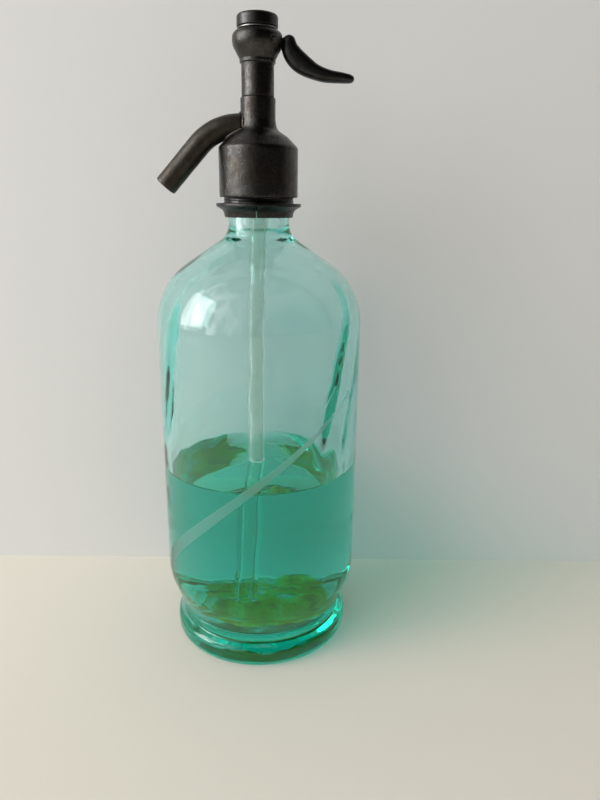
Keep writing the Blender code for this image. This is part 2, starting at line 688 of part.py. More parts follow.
def spout_path():
    """From inside the column out to the bend, round it and down to the mouth."""
    reach = SPOUT_BEND_RADIUS * math.tan(SPOUT_ANGLE / 2)
    start = SPOUT_CORNER_X + reach
    path = [Vector((-COLUMN_RADIUS / 2, 0, SPOUT_Z))]
    for step in range(SPOUT_BEND_STEPS + 1):
        angle = SPOUT_ANGLE * step / SPOUT_BEND_STEPS
        x = start - SPOUT_BEND_RADIUS * math.sin(angle)
        z = SPOUT_Z - SPOUT_BEND_RADIUS * (1 - math.cos(angle))
        path.append(Vector((x, 0, z)))
    down = Vector((-math.cos(SPOUT_ANGLE), 0, -math.sin(SPOUT_ANGLE)))
    corner = Vector((SPOUT_CORNER_X, 0, SPOUT_Z))
    path.append(corner + down * (SPOUT_REACH - SPOUT_MOUTH_FILLET))
    path.append(corner + down * SPOUT_REACH)
    return path


def make_spout():
    path = spout_path()
    outer = pipe_rings(path, SPOUT_RADIUS, SPOUT_SIDES)
    mouth = pipe_rings(path[-2:], SPOUT_RADIUS - SPOUT_MOUTH_FILLET, SPOUT_SIDES)[-1]
    inner = pipe_rings(path, SPOUT_BORE, SPOUT_SIDES)
    spout = finish("spout", skin(outer[:-1] + [mouth] + inner[::-1], closed=True), PEWTER)
    saddle = rounded([(0, BELL_FOOT_Z, 0)] + bell_outside(GAP) + [(0, COLUMN_TOP_Z, 0)])
    cut(spout, finish("spout_saddle_cutter", lathe(saddle, HEAD_SIDES), TOOL))


def make_valve_seat():
    profile = rounded([
        (SEAT_BORE, CROWN_UNDER_Z, 0),
        (SEAT_RADIUS, CROWN_UNDER_Z, 0),
        (SEAT_RADIUS, SEAT_TOP_Z, 0),
        (SEAT_NOZZLE_RADIUS, SEAT_TOP_Z, 0),
        (SEAT_NOZZLE_RADIUS, NOZZLE_Z, SEAT_LIP_FILLET),
        (SEAT_BORE, NOZZLE_Z, 0),
    ])
    finish("valve_seat", lathe(profile, SMALL_SIDES), BRASS)


def make_valve_pad():
    profile = rounded([
        (SCREW_HOLE, PAD_Z, 0),
        (PAD_RADIUS, PAD_Z, 0),
        (PAD_RADIUS, PAD_TOP_Z, 0),
        (SCREW_HOLE, PAD_TOP_Z, 0),
    ])
    finish("valve_pad", lathe(profile, SMALL_SIDES), RUBBER, (0, 0, PAD_Z))


def make_valve_cup():
    skirt = PAD_TOP_Z - CUP_SKIRT_DROP
    profile = rounded([
        (CUP_BORE, skirt, 0),
        (CUP_RADIUS, skirt, 0),
        (CUP_RADIUS, CUP_TOP_Z, CUP_FILLET),
        (SCREW_HOLE, CUP_TOP_Z, 0),
        (SCREW_HOLE, PAD_TOP_Z + GAP, 0),
        (CUP_BORE, PAD_TOP_Z + GAP, 0),
    ])
    finish("valve_cup", lathe(profile, SMALL_SIDES), BRASS, (0, 0, CUP_TOP_Z))


def make_valve_screw():
    head_top = PAD_Z - GAP
    profile = rounded([
        (0, head_top - SCREW_HEAD_HEIGHT, 0),
        (SCREW_HEAD_RADIUS, head_top - SCREW_HEAD_HEIGHT, 0),
        (SCREW_HEAD_RADIUS, head_top, 0),
        (SCREW_RADIUS, head_top, 0),
        (SCREW_RADIUS, STEM_FOOT_Z + SCREW_REACH, 0),
        (0, STEM_FOOT_Z + SCREW_REACH, 0),
    ])
    finish("valve_screw", lathe(profile, TUBE_SIDES), BRASS, (0, 0, head_top))


def make_valve_stem():
    nose = SPRING_SEAT_Z + STEM_NOSE_LENGTH
    hole_end = STEM_FOOT_Z + SCREW_REACH + GAP
    profile = rounded([
        (0, hole_end, 0),
        (SCREW_HOLE, hole_end, 0),
        (SCREW_HOLE, STEM_FOOT_Z, 0),
        (STEM_RADIUS, STEM_FOOT_Z, 0),
        (STEM_RADIUS, SPRING_SEAT_UNDER_Z, 0),
        (SPRING_SEAT_RADIUS, SPRING_SEAT_UNDER_Z, 0),
        (SPRING_SEAT_RADIUS, SPRING_SEAT_Z, 0),
        (STEM_NOSE_RADIUS, SPRING_SEAT_Z, 0),
        (STEM_NOSE_RADIUS, nose, STEM_NOSE_FILLET),
        (0, nose, 0),
    ])
    stem = finish("valve_stem", lathe(profile, SMALL_SIDES), BRASS, (0, 0, PIVOT_Z))
    side = TONGUE_HALF + WINDOW_SIDE_CLEARANCE
    low = (-STEM_RADIUS - OVERRUN, -side, PIVOT_Z - WINDOW_HALF_HEIGHT)
    high = (STEM_RADIUS + OVERRUN, side, PIVOT_Z + WINDOW_HALF_HEIGHT)
    cut(stem, block("stem_window_cutter", low, high))


def make_lever_housing():
    spigot = SOCKET_RADIUS - GAP
    profile = rounded([
        (STEM_HOLE, SPIGOT_Z, 0),
        (spigot, SPIGOT_Z, SPIGOT_FILLET),
        (spigot, HOUSING_Z, 0),
        (UPPER_COLUMN_RADIUS, HOUSING_Z, 0),
        (UPPER_COLUMN_RADIUS, BALL_FOOT_Z, 0),
        (BALL_FOOT_RADIUS, BALL_FOOT_Z, 0),
        (BALL_FOOT_RADIUS, BALL_FLANK_Z, BALL_FOOT_FILLET),
        (BALL_RADIUS, BALL_SIDE_Z, BALL_FLANK_FILLET),
        (BALL_RADIUS, BALL_TOP_Z, BALL_CROWN_FILLET),
        (PLUG_BORE, BALL_TOP_Z, 0),
        (PLUG_BORE, PLUG_SEAT_Z, 0),
        (HOUSING_BORE, PLUG_SEAT_Z, 0),
        (HOUSING_BORE, GLAND_Z, 0),
        (STEM_HOLE, GLAND_Z, 0),
    ])
    housing = finish("lever_housing", lathe(profile, HEAD_SIDES), PEWTER)
    side = TONGUE_HALF + TONGUE_SIDE_CLEARANCE
    low = (0, -side, PIVOT_Z - ARM_HALF_HEIGHT - SLOT_BELOW_ARM)
    high = (BALL_RADIUS + OVERRUN, side, PIVOT_Z + EYE_RADIUS + SLOT_ABOVE_EYE)
    cut(housing, block("lever_slot_cutter", low, high))
    drill = rod_along_y("pin_hole", PIVOT_X, PIVOT_Z, PIN_HOLE, BALL_RADIUS + OVERRUN)
    cut(housing, finish("pin_hole_cutter", drill, TOOL))


def make_packing():
    washer = rounded([
        (STEM_HOLE, LEATHER_Z, 0),
        (HOUSING_BORE - GAP, LEATHER_Z, 0),
        (HOUSING_BORE - GAP, LEATHER_Z + LEATHER_THICKNESS, 0),
        (STEM_HOLE, LEATHER_Z + LEATHER_THICKNESS, 0),
    ])
    finish("packing_washer", lathe(washer, SMALL_SIDES), LEATHER)
    top = NUT_Z + NUT_LENGTH
    outline = rounded([
        (STEM_HOLE, NUT_Z, 0),
        (HOUSING_BORE - GAP, NUT_Z, 0),
        (HOUSING_BORE - GAP, top, 0),
        (STEM_HOLE, top, 0),
    ])
    nut = finish("packing_nut", lathe(outline, SMALL_SIDES), BRASS)
    half = NUT_SLOT_WIDTH / 2
    low = (-HOUSING_BORE, -half, top - NUT_SLOT_DEPTH)
    high = (HOUSING_BORE, half, top + OVERRUN)
    cut(nut, block("nut_slot_cutter", low, high))


def make_return_spring():
    steps = round(SPRING_TURNS * SPRING_STEPS_PER_TURN)
    rise = SPRING_LENGTH - 2 * SPRING_WIRE
    pitch = rise / (math.tau * SPRING_TURNS)
    rings = []
    for step in range(steps + 1):
        angle = math.tau * SPRING_TURNS * step / steps
        outward = Vector((math.cos(angle), math.sin(angle), 0))
        along = Vector((-math.sin(angle) * SPRING_RADIUS, math.cos(angle) * SPRING_RADIUS, pitch))
        centre = outward * SPRING_RADIUS + Vector((0, 0, SPRING_Z + SPRING_WIRE + rise * step / steps))
        rings.append(circle(centre, along, outward, SPRING_WIRE, SPRING_SIDES))
    finish("return_spring", skin(rings), SPRING_STEEL)


def make_cap():
    ring = rounded([
        (PLUG_BORE, CAP_RING_Z, 0),
        (CAP_RING_RADIUS, CAP_RING_Z, CAP_RING_FILLET),
        (CAP_RING_RADIUS, CAP_RING_Z + CAP_RING_THICKNESS, CAP_RING_FILLET),
        (PLUG_BORE, CAP_RING_Z + CAP_RING_THICKNESS, 0),
    ])
    finish("cap_ring", lathe(ring, HEAD_SIDES), PEWTER_BRIGHT)
    outline = rounded([
        (0, CAP_CEILING_Z, 0),
        (CAP_HOLLOW_RADIUS, CAP_CEILING_Z, 0),
        (CAP_HOLLOW_RADIUS, PLUG_END_Z, 0),
        (CAP_PLUG_RADIUS, PLUG_END_Z, 0),
        (CAP_PLUG_RADIUS, CAP_Z, 0),
        (CAP_RADIUS, CAP_Z, CAP_RING_FILLET),
        (CAP_RADIUS, CAP_Z + CAP_HEIGHT, CAP_FILLET),
        (0, CAP_Z + CAP_HEIGHT + CAP_DOME, 0),
    ])
    finish("cap", lathe(outline, HEAD_SIDES), PEWTER_DARK)


def tongue_outline():
    """The flat tongue seen from -Y: round tip in the stem, thin neck, round eye and the arm to the horn."""
    tip = math.asin(TONGUE_NECK_HALF / TONGUE_TIP_RADIUS)
    eye_in = math.pi - math.asin(TONGUE_NECK_HALF / EYE_RADIUS)
    eye_out = math.asin(ARM_HALF_HEIGHT / EYE_RADIUS)
    upper = []
    for step in range(TIP_STEPS + 1):
        angle = math.pi - (math.pi - tip) * step / TIP_STEPS
        upper.append((TONGUE_TIP_RADIUS * math.cos(angle), TONGUE_TIP_RADIUS * math.sin(angle)))
    for step in range(EYE_STEPS + 1):
        angle = eye_in + (eye_out - eye_in) * step / EYE_STEPS
        upper.append((PIVOT_X + EYE_RADIUS * math.cos(angle), EYE_RADIUS * math.sin(angle)))
    upper.append((ARM_END_X, ARM_HALF_HEIGHT))
    lower = [(x, -z) for x, z in upper[1:]]
    return upper + lower[::-1]


def horn_section(centre, along, half_depth, half_width):
    """An oval ring square to the horn, with a shallow channel along each flat side."""
    up = Vector((0, 1, 0)).cross(along).normalized()
    if up.z < 0:
        up = -up
    ring = []
    for side in range(HORN_SIDES):
        angle = math.tau * side / HORN_SIDES
        hollow = 1 - HORN_CHANNEL_SHARE * math.cos(angle) ** 4
        across = Vector((0, half_width * math.cos(angle) * hollow, 0))
        ring.append(centre + across + up * half_depth * math.sin(angle))
    return ring


def horn_rings():
    root = Vector((HORN_ROOT_X, 0, PIVOT_Z + HORN_ROOT_RISE))
    spots = []
    for along, down, _, _ in HORN_SECTION_SHARES:
        spots.append(root + Vector((HORN_REACH * along, 0, -HORN_DROP * down)))
    tip = root + Vector((HORN_REACH, 0, -HORN_DROP))
    headings = directions(spots + [tip])
    headings[0] = Vector((math.cos(HORN_ROOT_ANGLE), 0, -math.sin(HORN_ROOT_ANGLE)))
    rings = []
    root_depth = HORN_HALF_DEPTH * HORN_SECTION_SHARES[0][2]
    root_width = HORN_HALF_WIDTH * HORN_SECTION_SHARES[0][3]
    rings.append([root - headings[0] * root_depth])
    for step in range(1, HORN_CAP_STEPS):
        angle = math.pi / 2 * (1 - step / HORN_CAP_STEPS)
        centre = root - headings[0] * root_depth * math.sin(angle)
        shrink = math.cos(angle)
        rings.append(horn_section(centre, headings[0], root_depth * shrink, root_width * shrink))
    for spot, heading, shares in zip(spots, headings, HORN_SECTION_SHARES):
        depth = HORN_HALF_DEPTH * shares[2]
        width = HORN_HALF_WIDTH * shares[3]
        rings.append(horn_section(spot, heading, depth, width))
    rings.append([tip])
    return rings


def make_lever():
    outline = [(x, PIVOT_Z + z) for x, z in tongue_outline()]
    front = [Vector((x, -TONGUE_HALF, z)) for x, z in outline]
    back = [Vector((x, TONGUE_HALF, z)) for x, z in outline]
    pivot = (PIVOT_X, 0, PIVOT_Z)
    lever = finish("lever", skin([front, back]), PEWTER_DARK, pivot)
    cut(lever, finish("lever_horn_tool", skin(horn_rings()), TOOL), "UNION")
    drill = rod_along_y("lever_eye", PIVOT_X, PIVOT_Z, PIN_HOLE, TONGUE_THICKNESS)
    cut(lever, finish("lever_eye_cutter", drill, TOOL))


def make_lever_pin():
    length = math.sqrt(BALL_RADIUS ** 2 - (PIVOT_X + PIN_RADIUS) ** 2)
    pin = rod_along_y("pin", PIVOT_X, PIVOT_Z, PIN_RADIUS, length)
    finish("lever_pin", pin, STEEL, (PIVOT_X, 0, PIVOT_Z))


clear_scene()
GLASS = material("teal_glass", (0.55, 0.90, 0.84), 0.03, 0.0, 1.0)
TUBE_GLASS = material("milky_glass", (0.80, 0.92, 0.86), 0.12, 0.0, 0.8)
WATER = material("water", (0.80, 0.95, 0.92), 0.02, 0.0, 1.0)
PEWTER = material("pewter", (0.115, 0.112, 0.112), 0.42, 1.0)
PEWTER_DARK = material("pewter_dark", (0.070, 0.068, 0.070), 0.45, 1.0)
PEWTER_BRIGHT = material("pewter_bright", (0.30, 0.29, 0.28), 0.35, 1.0)
BRASS = material("brass", (0.55, 0.41, 0.18), 0.38, 1.0)
RUBBER = material("rubber", (0.030, 0.028, 0.027), 0.75, 0.0)
LEATHER = material("leather", (0.20, 0.11, 0.06), 0.80, 0.0)
STEEL = material("steel", (0.42, 0.41, 0.40), 0.35, 1.0)
SPRING_STEEL = material("spring_steel", (0.36, 0.35, 0.33), 0.30, 1.0)
TOOL = material("cutting_tool", (0.8, 0.2, 0.2), 0.5, 0.0)

make_bottle()
make_water()
make_dip_tube()
make_dip_tube_washer()
make_neck_gasket()
make_collar_halves()
make_bell_casting()
make_spout()
make_valve_seat()
make_valve_pad()
make_valve_cup()
make_valve_screw()
make_valve_stem()
make_lever_housing()
make_packing()
make_return_spring()
make_cap()
make_lever()
make_lever_pin()
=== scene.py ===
# %% [markdown]
# # Dressing a soda siphon
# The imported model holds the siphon's pieces at their real size: it stands on z = 0, the bottle's axis is
# the Z axis, the spout leaves towards -X and the thumb lever towards +X. This lesson builds the fine
# surfaces over it: thick teal glass with water in it, and a head of old, dark pewter.
# The model could be rendered as it is, but its facets would show in every reflection on the glass. So
# each piece that is seen gets a finer mesh, and each finish is built from nodes.

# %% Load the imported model
import math

import bmesh
import bpy
from mathutils import Matrix, Vector, noise


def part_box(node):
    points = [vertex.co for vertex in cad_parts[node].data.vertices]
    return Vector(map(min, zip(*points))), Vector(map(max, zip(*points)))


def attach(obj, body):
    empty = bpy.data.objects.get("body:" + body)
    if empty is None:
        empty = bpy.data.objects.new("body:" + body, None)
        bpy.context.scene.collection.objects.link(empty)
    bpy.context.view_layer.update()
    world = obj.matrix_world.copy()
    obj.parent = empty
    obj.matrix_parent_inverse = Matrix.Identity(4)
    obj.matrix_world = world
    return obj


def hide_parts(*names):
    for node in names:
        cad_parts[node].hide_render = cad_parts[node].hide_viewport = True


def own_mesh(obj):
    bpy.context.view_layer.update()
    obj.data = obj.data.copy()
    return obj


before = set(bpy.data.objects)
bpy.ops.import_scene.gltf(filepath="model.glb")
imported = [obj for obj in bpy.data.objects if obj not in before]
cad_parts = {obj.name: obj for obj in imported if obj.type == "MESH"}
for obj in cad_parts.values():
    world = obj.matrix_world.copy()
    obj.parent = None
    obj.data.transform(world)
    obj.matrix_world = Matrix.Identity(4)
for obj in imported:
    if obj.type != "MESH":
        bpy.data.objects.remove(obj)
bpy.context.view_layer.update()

MM = 0.001


def corners_mm(node):
    """A node's lowest and highest corner at rest, in millimetres."""
    return [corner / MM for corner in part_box(node)]


print("pieces in the model:", len(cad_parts))

# %% [markdown]
# ## Camera
# The photograph was taken by hand, close to the bottle and a little above its shoulder. A wide lens so
# near makes the foot look small beside the shoulder, so the distance matters as much as the angle. The
# numbers come from fitting a pinhole camera to the bottle's outline. The image is 600 by 800, and the
# sensor's width counts for the longer side.

# %% Place the camera
IMAGE_LONG_SIDE = 800
FOCAL_LENGTH_PX = 650
SENSOR_MM = 36
CAMERA_MM = (20.5, -321.5, 226.2)
LOOKING_DOWN = math.radians(16.86)
ROLL = math.radians(0.6)

camera = bpy.data.objects.new("camera", bpy.data.cameras.new("camera"))
bpy.context.scene.collection.objects.link(camera)
camera.data.sensor_width = SENSOR_MM
camera.data.lens = SENSOR_MM * FOCAL_LENGTH_PX / IMAGE_LONG_SIDE
camera.data.clip_start = 0.01
turn = Matrix.Rotation(math.pi / 2 - LOOKING_DOWN, 4, "X") @ Matrix.Rotation(ROLL, 4, "Z")
camera.matrix_world = Matrix.Translation(Vector(CAMERA_MM) * MM) @ turn
bpy.context.scene.camera = camera
print("lens:", round(camera.data.lens, 2), "mm")

# %% [markdown]
# ## Turned shapes
# Most of a siphon is turned or blown in the round, so one tool makes most of it: an outline of corners
# (radius, height, fillet) in millimetres, whose corners are rounded into arcs, spun about the Z axis.
# Blender's Screw modifier could spin it too. Making the rings in code leaves each point open to a small
# shift, and old glass and worn metal need those shifts to stop looking machined.

# %% Round the corners of an outline
ARC_ERROR = 0.006
EDGE_SHARE = 0.98
COARSEST_ARC = 0.8


def rounded(corners, error=ARC_ERROR):
    """Turns each corner (radius, height, fillet) into an arc, cut back where two arcs would meet."""
    spots = [Vector(corner[:2]) for corner in corners]
    reach = [0.0] * len(corners)
    for i in range(1, len(corners) - 1):
        opening = (spots[i - 1] - spots[i]).angle(spots[i + 1] - spots[i])
        reach[i] = corners[i][2] / math.tan(opening / 2)
    for i in range(1, len(corners)):
        edge = (spots[i] - spots[i - 1]).length * EDGE_SHARE
        over = (reach[i] + reach[i - 1]) / edge
        if over > 1:
            reach[i], reach[i - 1] = reach[i] / over, reach[i - 1] / over
    points = []
    for i, here in enumerate(spots):
        if reach[i] <= 0:
            points.append(here)
            continue
        before = (spots[i - 1] - here).normalized()
        after = (spots[i + 1] - here).normalized()
        half = before.angle(after) / 2
        fillet = reach[i] * math.tan(half)
        centre = here + (before + after).normalized() * (fillet / math.sin(half))
        start = here + before * reach[i] - centre
        sweep = start.angle_signed(here + after * reach[i] - centre)
        steps = max(2, round(abs(sweep) / (2 * math.acos(max(COARSEST_ARC, 1 - error / fillet)))))
        for step in range(steps + 1):
            points.append(centre + Matrix.Rotation(-sweep * step / steps, 2) @ start)
    return points


# %% [markdown]
# A long straight side has points only at its ends. To bend or dent it, it needs more of them on the way,
# so the next helper adds points wherever two lie further apart than a given length.

# %% Add points along straight sides
def divided(points, longest):
    """Adds points so that none lies further from the next than longest."""
    fine = [points[0]]
    for before, after in zip(points, points[1:]):
        steps = max(1, math.ceil((after - before).length / longest))
        fine += [before.lerp(after, step / steps) for step in range(1, steps + 1)]
    return fine


# %% [markdown]
# Every mesh here is a row of rings joined by a skin. A closed row is a tube that bites its own tail. In
# an open row the end rings are filled, and an end of one point, as under the middle of the bottle, gets
# a fan of triangles. A turned piece has one ring for each point of its outline. Part of a turn, as in
# the split collar, has one copy of the outline for each step of the way round instead.

# %% Skin a row of rings, and spin an outline
ON_AXIS = 1e-6


def skinned(rings, closed=False):
    made = bmesh.new()
    loops = [[made.verts.new(point) for point in ring] for ring in rings]
    pairs = list(zip(loops, loops[1:]))
    if closed:
        pairs.append((loops[-1], loops[0]))
    for low, high in pairs:
        count = max(len(low), len(high))
        for i in range(count):
            after = (i + 1) % count
            corners = (low[i % len(low)], low[after % len(low)],
                       high[after % len(high)], high[i % len(high)])
            made.faces.new(list(dict.fromkeys(corners)))
    for loop in (loops[0], loops[-1]):
        if not closed and len(loop) > 2:
            made.faces.new(loop)
    return made


def spun(outline, sides, shift=None, start=0.0, sweep=math.tau):
    """Spins (radius, height) points about Z. shift(radius, angle, height) may move each point.
    An outline that keeps off the axis closes on itself, and one that starts on it is open to it."""
    def placed(point, angle):
        radius, height = shift(point.x, angle, point.y) if shift and point.x > ON_AXIS else point
        return radius * math.cos(angle), radius * math.sin(angle), height

    whole = sweep >= math.tau
    angles = [start + sweep * stop / sides for stop in range(sides if whole else sides + 1)]
    if not whole:
        return skinned([[placed(point, angle) for point in outline] for angle in angles])
    rings = [[placed(point, angle) for angle in angles[:None if point.x > ON_AXIS else 1]]
             for point in outline]
    return skinned(rings, closed=outline[0].x > ON_AXIS)


# %% [markdown]
# Pipes, wire and the lever follow a path, with a ring of points square to it at each step.

# %% Lay rings along a path
Y_AXIS = Vector((0, 1, 0))


def ring_round(centre, along, radius, sides, across=Y_AXIS):
    other = Vector(along).cross(across).normalized()
    turns = [math.tau * side / sides for side in range(sides)]
    return [Vector(centre) + (across * math.cos(t) + other * math.sin(t)) * radius for t in turns]


def headings(path):
    last = len(path) - 1
    return [(path[min(i + 1, last)] - path[max(i - 1, 0)]).normalized() for i in range(last + 1)]


# %% [markdown]
# Every mesh becomes an object in the same way: scaled from millimetres to metres, its faces turned
# outwards, and shaded smooth with sharp edges kept. A piece also gets its material and is tied to the
# body it moves with, and it may stand for a node of the model.

# %% Turn a mesh into a piece
HEAD_BODY = "bottle_and_head"


def as_object(name, made, sharp=32):
    bmesh.ops.recalc_face_normals(made, faces=made.faces)
    mesh = bpy.data.meshes.new(name)
    made.to_mesh(mesh)
    made.free()
    mesh.transform(Matrix.Scale(MM, 4))
    mesh.shade_smooth()
    mesh.set_sharp_from_angle(angle=math.radians(sharp))
    thing = bpy.data.objects.new(name, mesh)
    bpy.context.scene.collection.objects.link(thing)
    return thing


def mark_wet(thing, chosen):
    """Marks the faces that pass a test of centre, in mm, and normal, for a finish that differs there."""
    marks = thing.data.attributes.new("wet", "FLOAT", "FACE")
    for face in thing.data.polygons:
        marks.data[face.index].value = float(chosen(face.center / MM, face.normal))


def make_piece(name, made, finish, stands_for=None, sharp=32, body=HEAD_BODY):
    piece = as_object(name, made, sharp)
    piece.data.materials.append(finish)
    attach(piece, body)
    if stands_for:
        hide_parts(stands_for)
    print(name, len(piece.data.polygons), "faces")
    return piece


# %% Apply modifiers, and cut or join with a tool
def apply_modifiers(thing):
    """Replaces an object's mesh by what its modifiers make of it."""
    seen = thing.evaluated_get(bpy.context.evaluated_depsgraph_get())
    mesh = bpy.data.meshes.new_from_object(seen)
    thing.modifiers.clear()
    thing.data = mesh


def carve(thing, shape, operation="DIFFERENCE"):
    """Cuts a shape out of an object, or joins it on, and throws the shape away."""
    tool = as_object("tool", shape)
    cut = thing.modifiers.new("cut", "BOOLEAN")
    cut.operation = operation
    cut.solver = "EXACT"
    cut.object = tool
    apply_modifiers(thing)
    bpy.data.objects.remove(tool, do_unlink=True)


# %% [markdown]
# ## Finishes
# Colours are written as sRGB hex, as a colour picker shows them, and the shaders want linear light, so
# one function turns one into the other. One more adds a node with its settings and fills its sockets.
# Patterns are sized in millimetres: a noise of scale 1 has features about a metre wide on these pieces.

# %% Colours, nodes and pattern scales
def linear(colour):
    """An sRGB hex colour such as #8fb0a5 as linear red, green, blue and an alpha of 1."""
    parts = [int(colour[i:i + 2], 16) / 255 for i in (1, 3, 5)]
    return [p / 12.92 if p <= 0.04045 else ((p + 0.055) / 1.055) ** 2.4 for p in parts] + [1.0]


def fill(node, sockets):
    """Gives each socket a value, or a link where the value is an output, or a node with one in use."""
    for name, value in sockets.items():
        if isinstance(value, bpy.types.Node):
            value = next(output for output in value.outputs if output.enabled)
        if isinstance(value, bpy.types.NodeSocket):
            node.id_data.links.new(value, node.inputs[name])
        else:
            node.inputs[name].default_value = linear(value) if isinstance(value, str) else value
    return node


def add(tree, kind, sockets=None, **settings):
    made = tree.nodes.new("ShaderNode" + kind)
    for name, value in settings.items():
        setattr(made, name, value)
    return fill(made, sockets or {})


def per_metre(size_mm):
    return 1 / (size_mm * MM)


def new_finish(name):
    """A material with its node tree, its Principled shader, its output node and the place on the piece."""
    made = bpy.data.materials.new(name)
    made.use_nodes = True
    tree = made.node_tree
    where = add(tree, "TexCoord").outputs["Object"]
    return made, tree, tree.nodes["Principled BSDF"], tree.nodes["Material Output"], where


# %% [markdown]
# ### Teal bottle glass
# The bottle is soda-lime glass tinted by iron and copper, blown into a mould. Its colour isn't on the
# surface: light loses its red on the way through, so the thin walls look pale and the thick foot deep
# teal. A tinted surface would look the same everywhere, so the colour is a Volume Absorption instead.
# The front carries one plain sand-blasted band that climbs to the right. Frosting scatters light, so
# there the roughness goes up, and a little less light passes.

# %% Measure the frosted band
BODY_LOW, BODY_HIGH = corners_mm("bottle")
BODY_RADIUS = (BODY_HIGH.x - BODY_LOW.x) / 2
BAND_MIDDLE_MM = 101.0
BAND_SLOPE_MM = 41.1
BAND_CURVE_MM = -3.46
BAND_HALF_MM = 2.6
BAND_TAPER_MM = -1.75
BAND_ENDS = (math.radians(-66), math.radians(61))
SKIN_MM = 1.5


def band_mask(tree, where):
    """1 on the band and 0 elsewhere. The angle runs round the bottle from the front, and the band's
    middle is a parabola in it."""
    spot = add(tree, "SeparateXYZ", {0: where}).outputs
    front = add(tree, "Math", {0: spot["Y"], 1: -1.0}, operation="MULTIPLY")
    angle = add(tree, "Math", {0: spot["X"], 1: front}, operation="ARCTAN2")
    bend = add(tree, "Math", {0: angle, 1: BAND_CURVE_MM * MM, 2: BAND_SLOPE_MM * MM},
               operation="MULTIPLY_ADD")
    middle = add(tree, "Math", {0: angle, 1: bend, 2: BAND_MIDDLE_MM * MM}, operation="MULTIPLY_ADD")
    away = add(tree, "Math", {0: spot["Z"], 1: middle}, operation="SUBTRACT")
    near = add(tree, "Math", {0: away}, operation="ABSOLUTE")
    half = add(tree, "Math", {0: angle, 1: BAND_TAPER_MM * MM, 2: BAND_HALF_MM * MM},
               operation="MULTIPLY_ADD")
    flat = add(tree, "VectorMath", {0: where, 1: (1, 1, 0)}, operation="MULTIPLY")
    reach = add(tree, "VectorMath", {0: flat}, operation="LENGTH")
    mask = add(tree, "Math", {0: near, 1: half}, operation="LESS_THAN")
    for value, test, limit in ((angle, "GREATER_THAN", BAND_ENDS[0]), (angle, "LESS_THAN", BAND_ENDS[1]),
                               (reach, "GREATER_THAN", (BODY_RADIUS - SKIN_MM) * MM)):
        inside = add(tree, "Math", {0: value, 1: limit}, operation=test)
        mask = add(tree, "Math", {0: mask, 1: inside}, operation="MULTIPLY")
    return mask


# %% [markdown]
# Cycles treats glass as a blocker of lamps. For shadow rays, and for light that bounces off the floor,
# each clear piece is therefore a pale Transparent: the usual way to let light into a bottle.
# The bottle is in water on one side and in air on the other, and one object with a volume should have
# one material. So the faces that the water touches are marked, and the material changes there.

# %% Let lamps through, and change where a face is wet
def lamps_through(tree, output, shader, tint):
    rays = add(tree, "LightPath").outputs
    either = add(tree, "Math", {0: rays["Is Shadow Ray"], 1: rays["Is Diffuse Ray"]}, operation="MAXIMUM")
    clear = add(tree, "BsdfTransparent", {"Color": tint})
    fill(output, {"Surface": add(tree, "MixShader", {0: either, 1: shader, 2: clear})})


def where_wet(tree, dry, wet):
    mark = add(tree, "Attribute", attribute_name="wet")
    return add(tree, "MixShader", {0: mark.outputs["Fac"], 1: dry, 2: wet})


# %% Make the bottle glass
GLASS_IOR = 1.52
WATER_IOR = 1.333
RIPPLE_MM = 26
FLECK_MM = 2.4
GLASS_TINT = ("#59f6ef", 50.0)
POLISHED, FROSTED = 0.012, 0.50
FROSTED_CLEARNESS = 0.94


def make_bottle_glass():
    finish, tree, shader, output, where = new_finish("mould_blown_teal_glass")
    band = band_mask(tree, where)
    clear = add(tree, "MapRange", {"Value": band, "To Min": 1.0, "To Max": FROSTED_CLEARNESS})
    rough = add(tree, "MapRange", {"Value": band, "To Min": POLISHED, "To Max": FROSTED})
    ripple = add(tree, "TexNoise", {"Vector": where, "Scale": per_metre(RIPPLE_MM), "Detail": 1.5})
    fleck = add(tree, "TexNoise", {"Vector": where, "Scale": per_metre(FLECK_MM), "Detail": 2.0})
    waves = add(tree, "Bump", {"Height": ripple, "Strength": 0.5, "Distance": 1.6 * MM})
    skin = add(tree, "Bump", {"Height": fleck, "Strength": 0.08, "Distance": 0.05 * MM, "Normal": waves})
    fill(shader, {"Base Color": "#ffffff", "IOR": GLASS_IOR, "Transmission Weight": clear,
                  "Roughness": rough, "Normal": skin})
    wet = add(tree, "BsdfGlass", {"IOR": GLASS_IOR / WATER_IOR, "Roughness": 0.0})
    lamps_through(tree, output, where_wet(tree, shader, wet), "#fcf0f3")
    colour, density = GLASS_TINT
    fill(output, {"Volume": add(tree, "VolumeAbsorption", {"Color": colour, "Density": density})})
    return finish


BOTTLE_GLASS = make_bottle_glass()
print("bottle glass:", len(BOTTLE_GLASS.node_tree.nodes), "nodes")

# %% [markdown]
# ### Water
# Clear water bends light less than glass. The water has an absorption of its own, far stronger than clear
# water's: this is painted shade, a teal darkening that stands in for light bounced inside the tinted glass.
# Its mesh reaches a tenth of a millimetre into the glass: with two faces one on the other Cycles couldn't
# tell which comes first, and with a gap there would be a film of air between. Where the two meet, light is
# bent once, by the ratio of their indices: the wet side of the glass does that, and the water's own side
# lets it straight through. Seen from above, the surface would mirror the bright wall. The photograph hardly
# shows that, so most of it only bends light there.

# %% Make the water's finish
WAVE_MM = 40
# Painted shade: a teal absorption far stronger than clear water's, standing in for light bounced in the
# glass.
WATER_PAINTED_SHADE = ("#00efe6", 36.0)
UNMIRRORED = 0.8


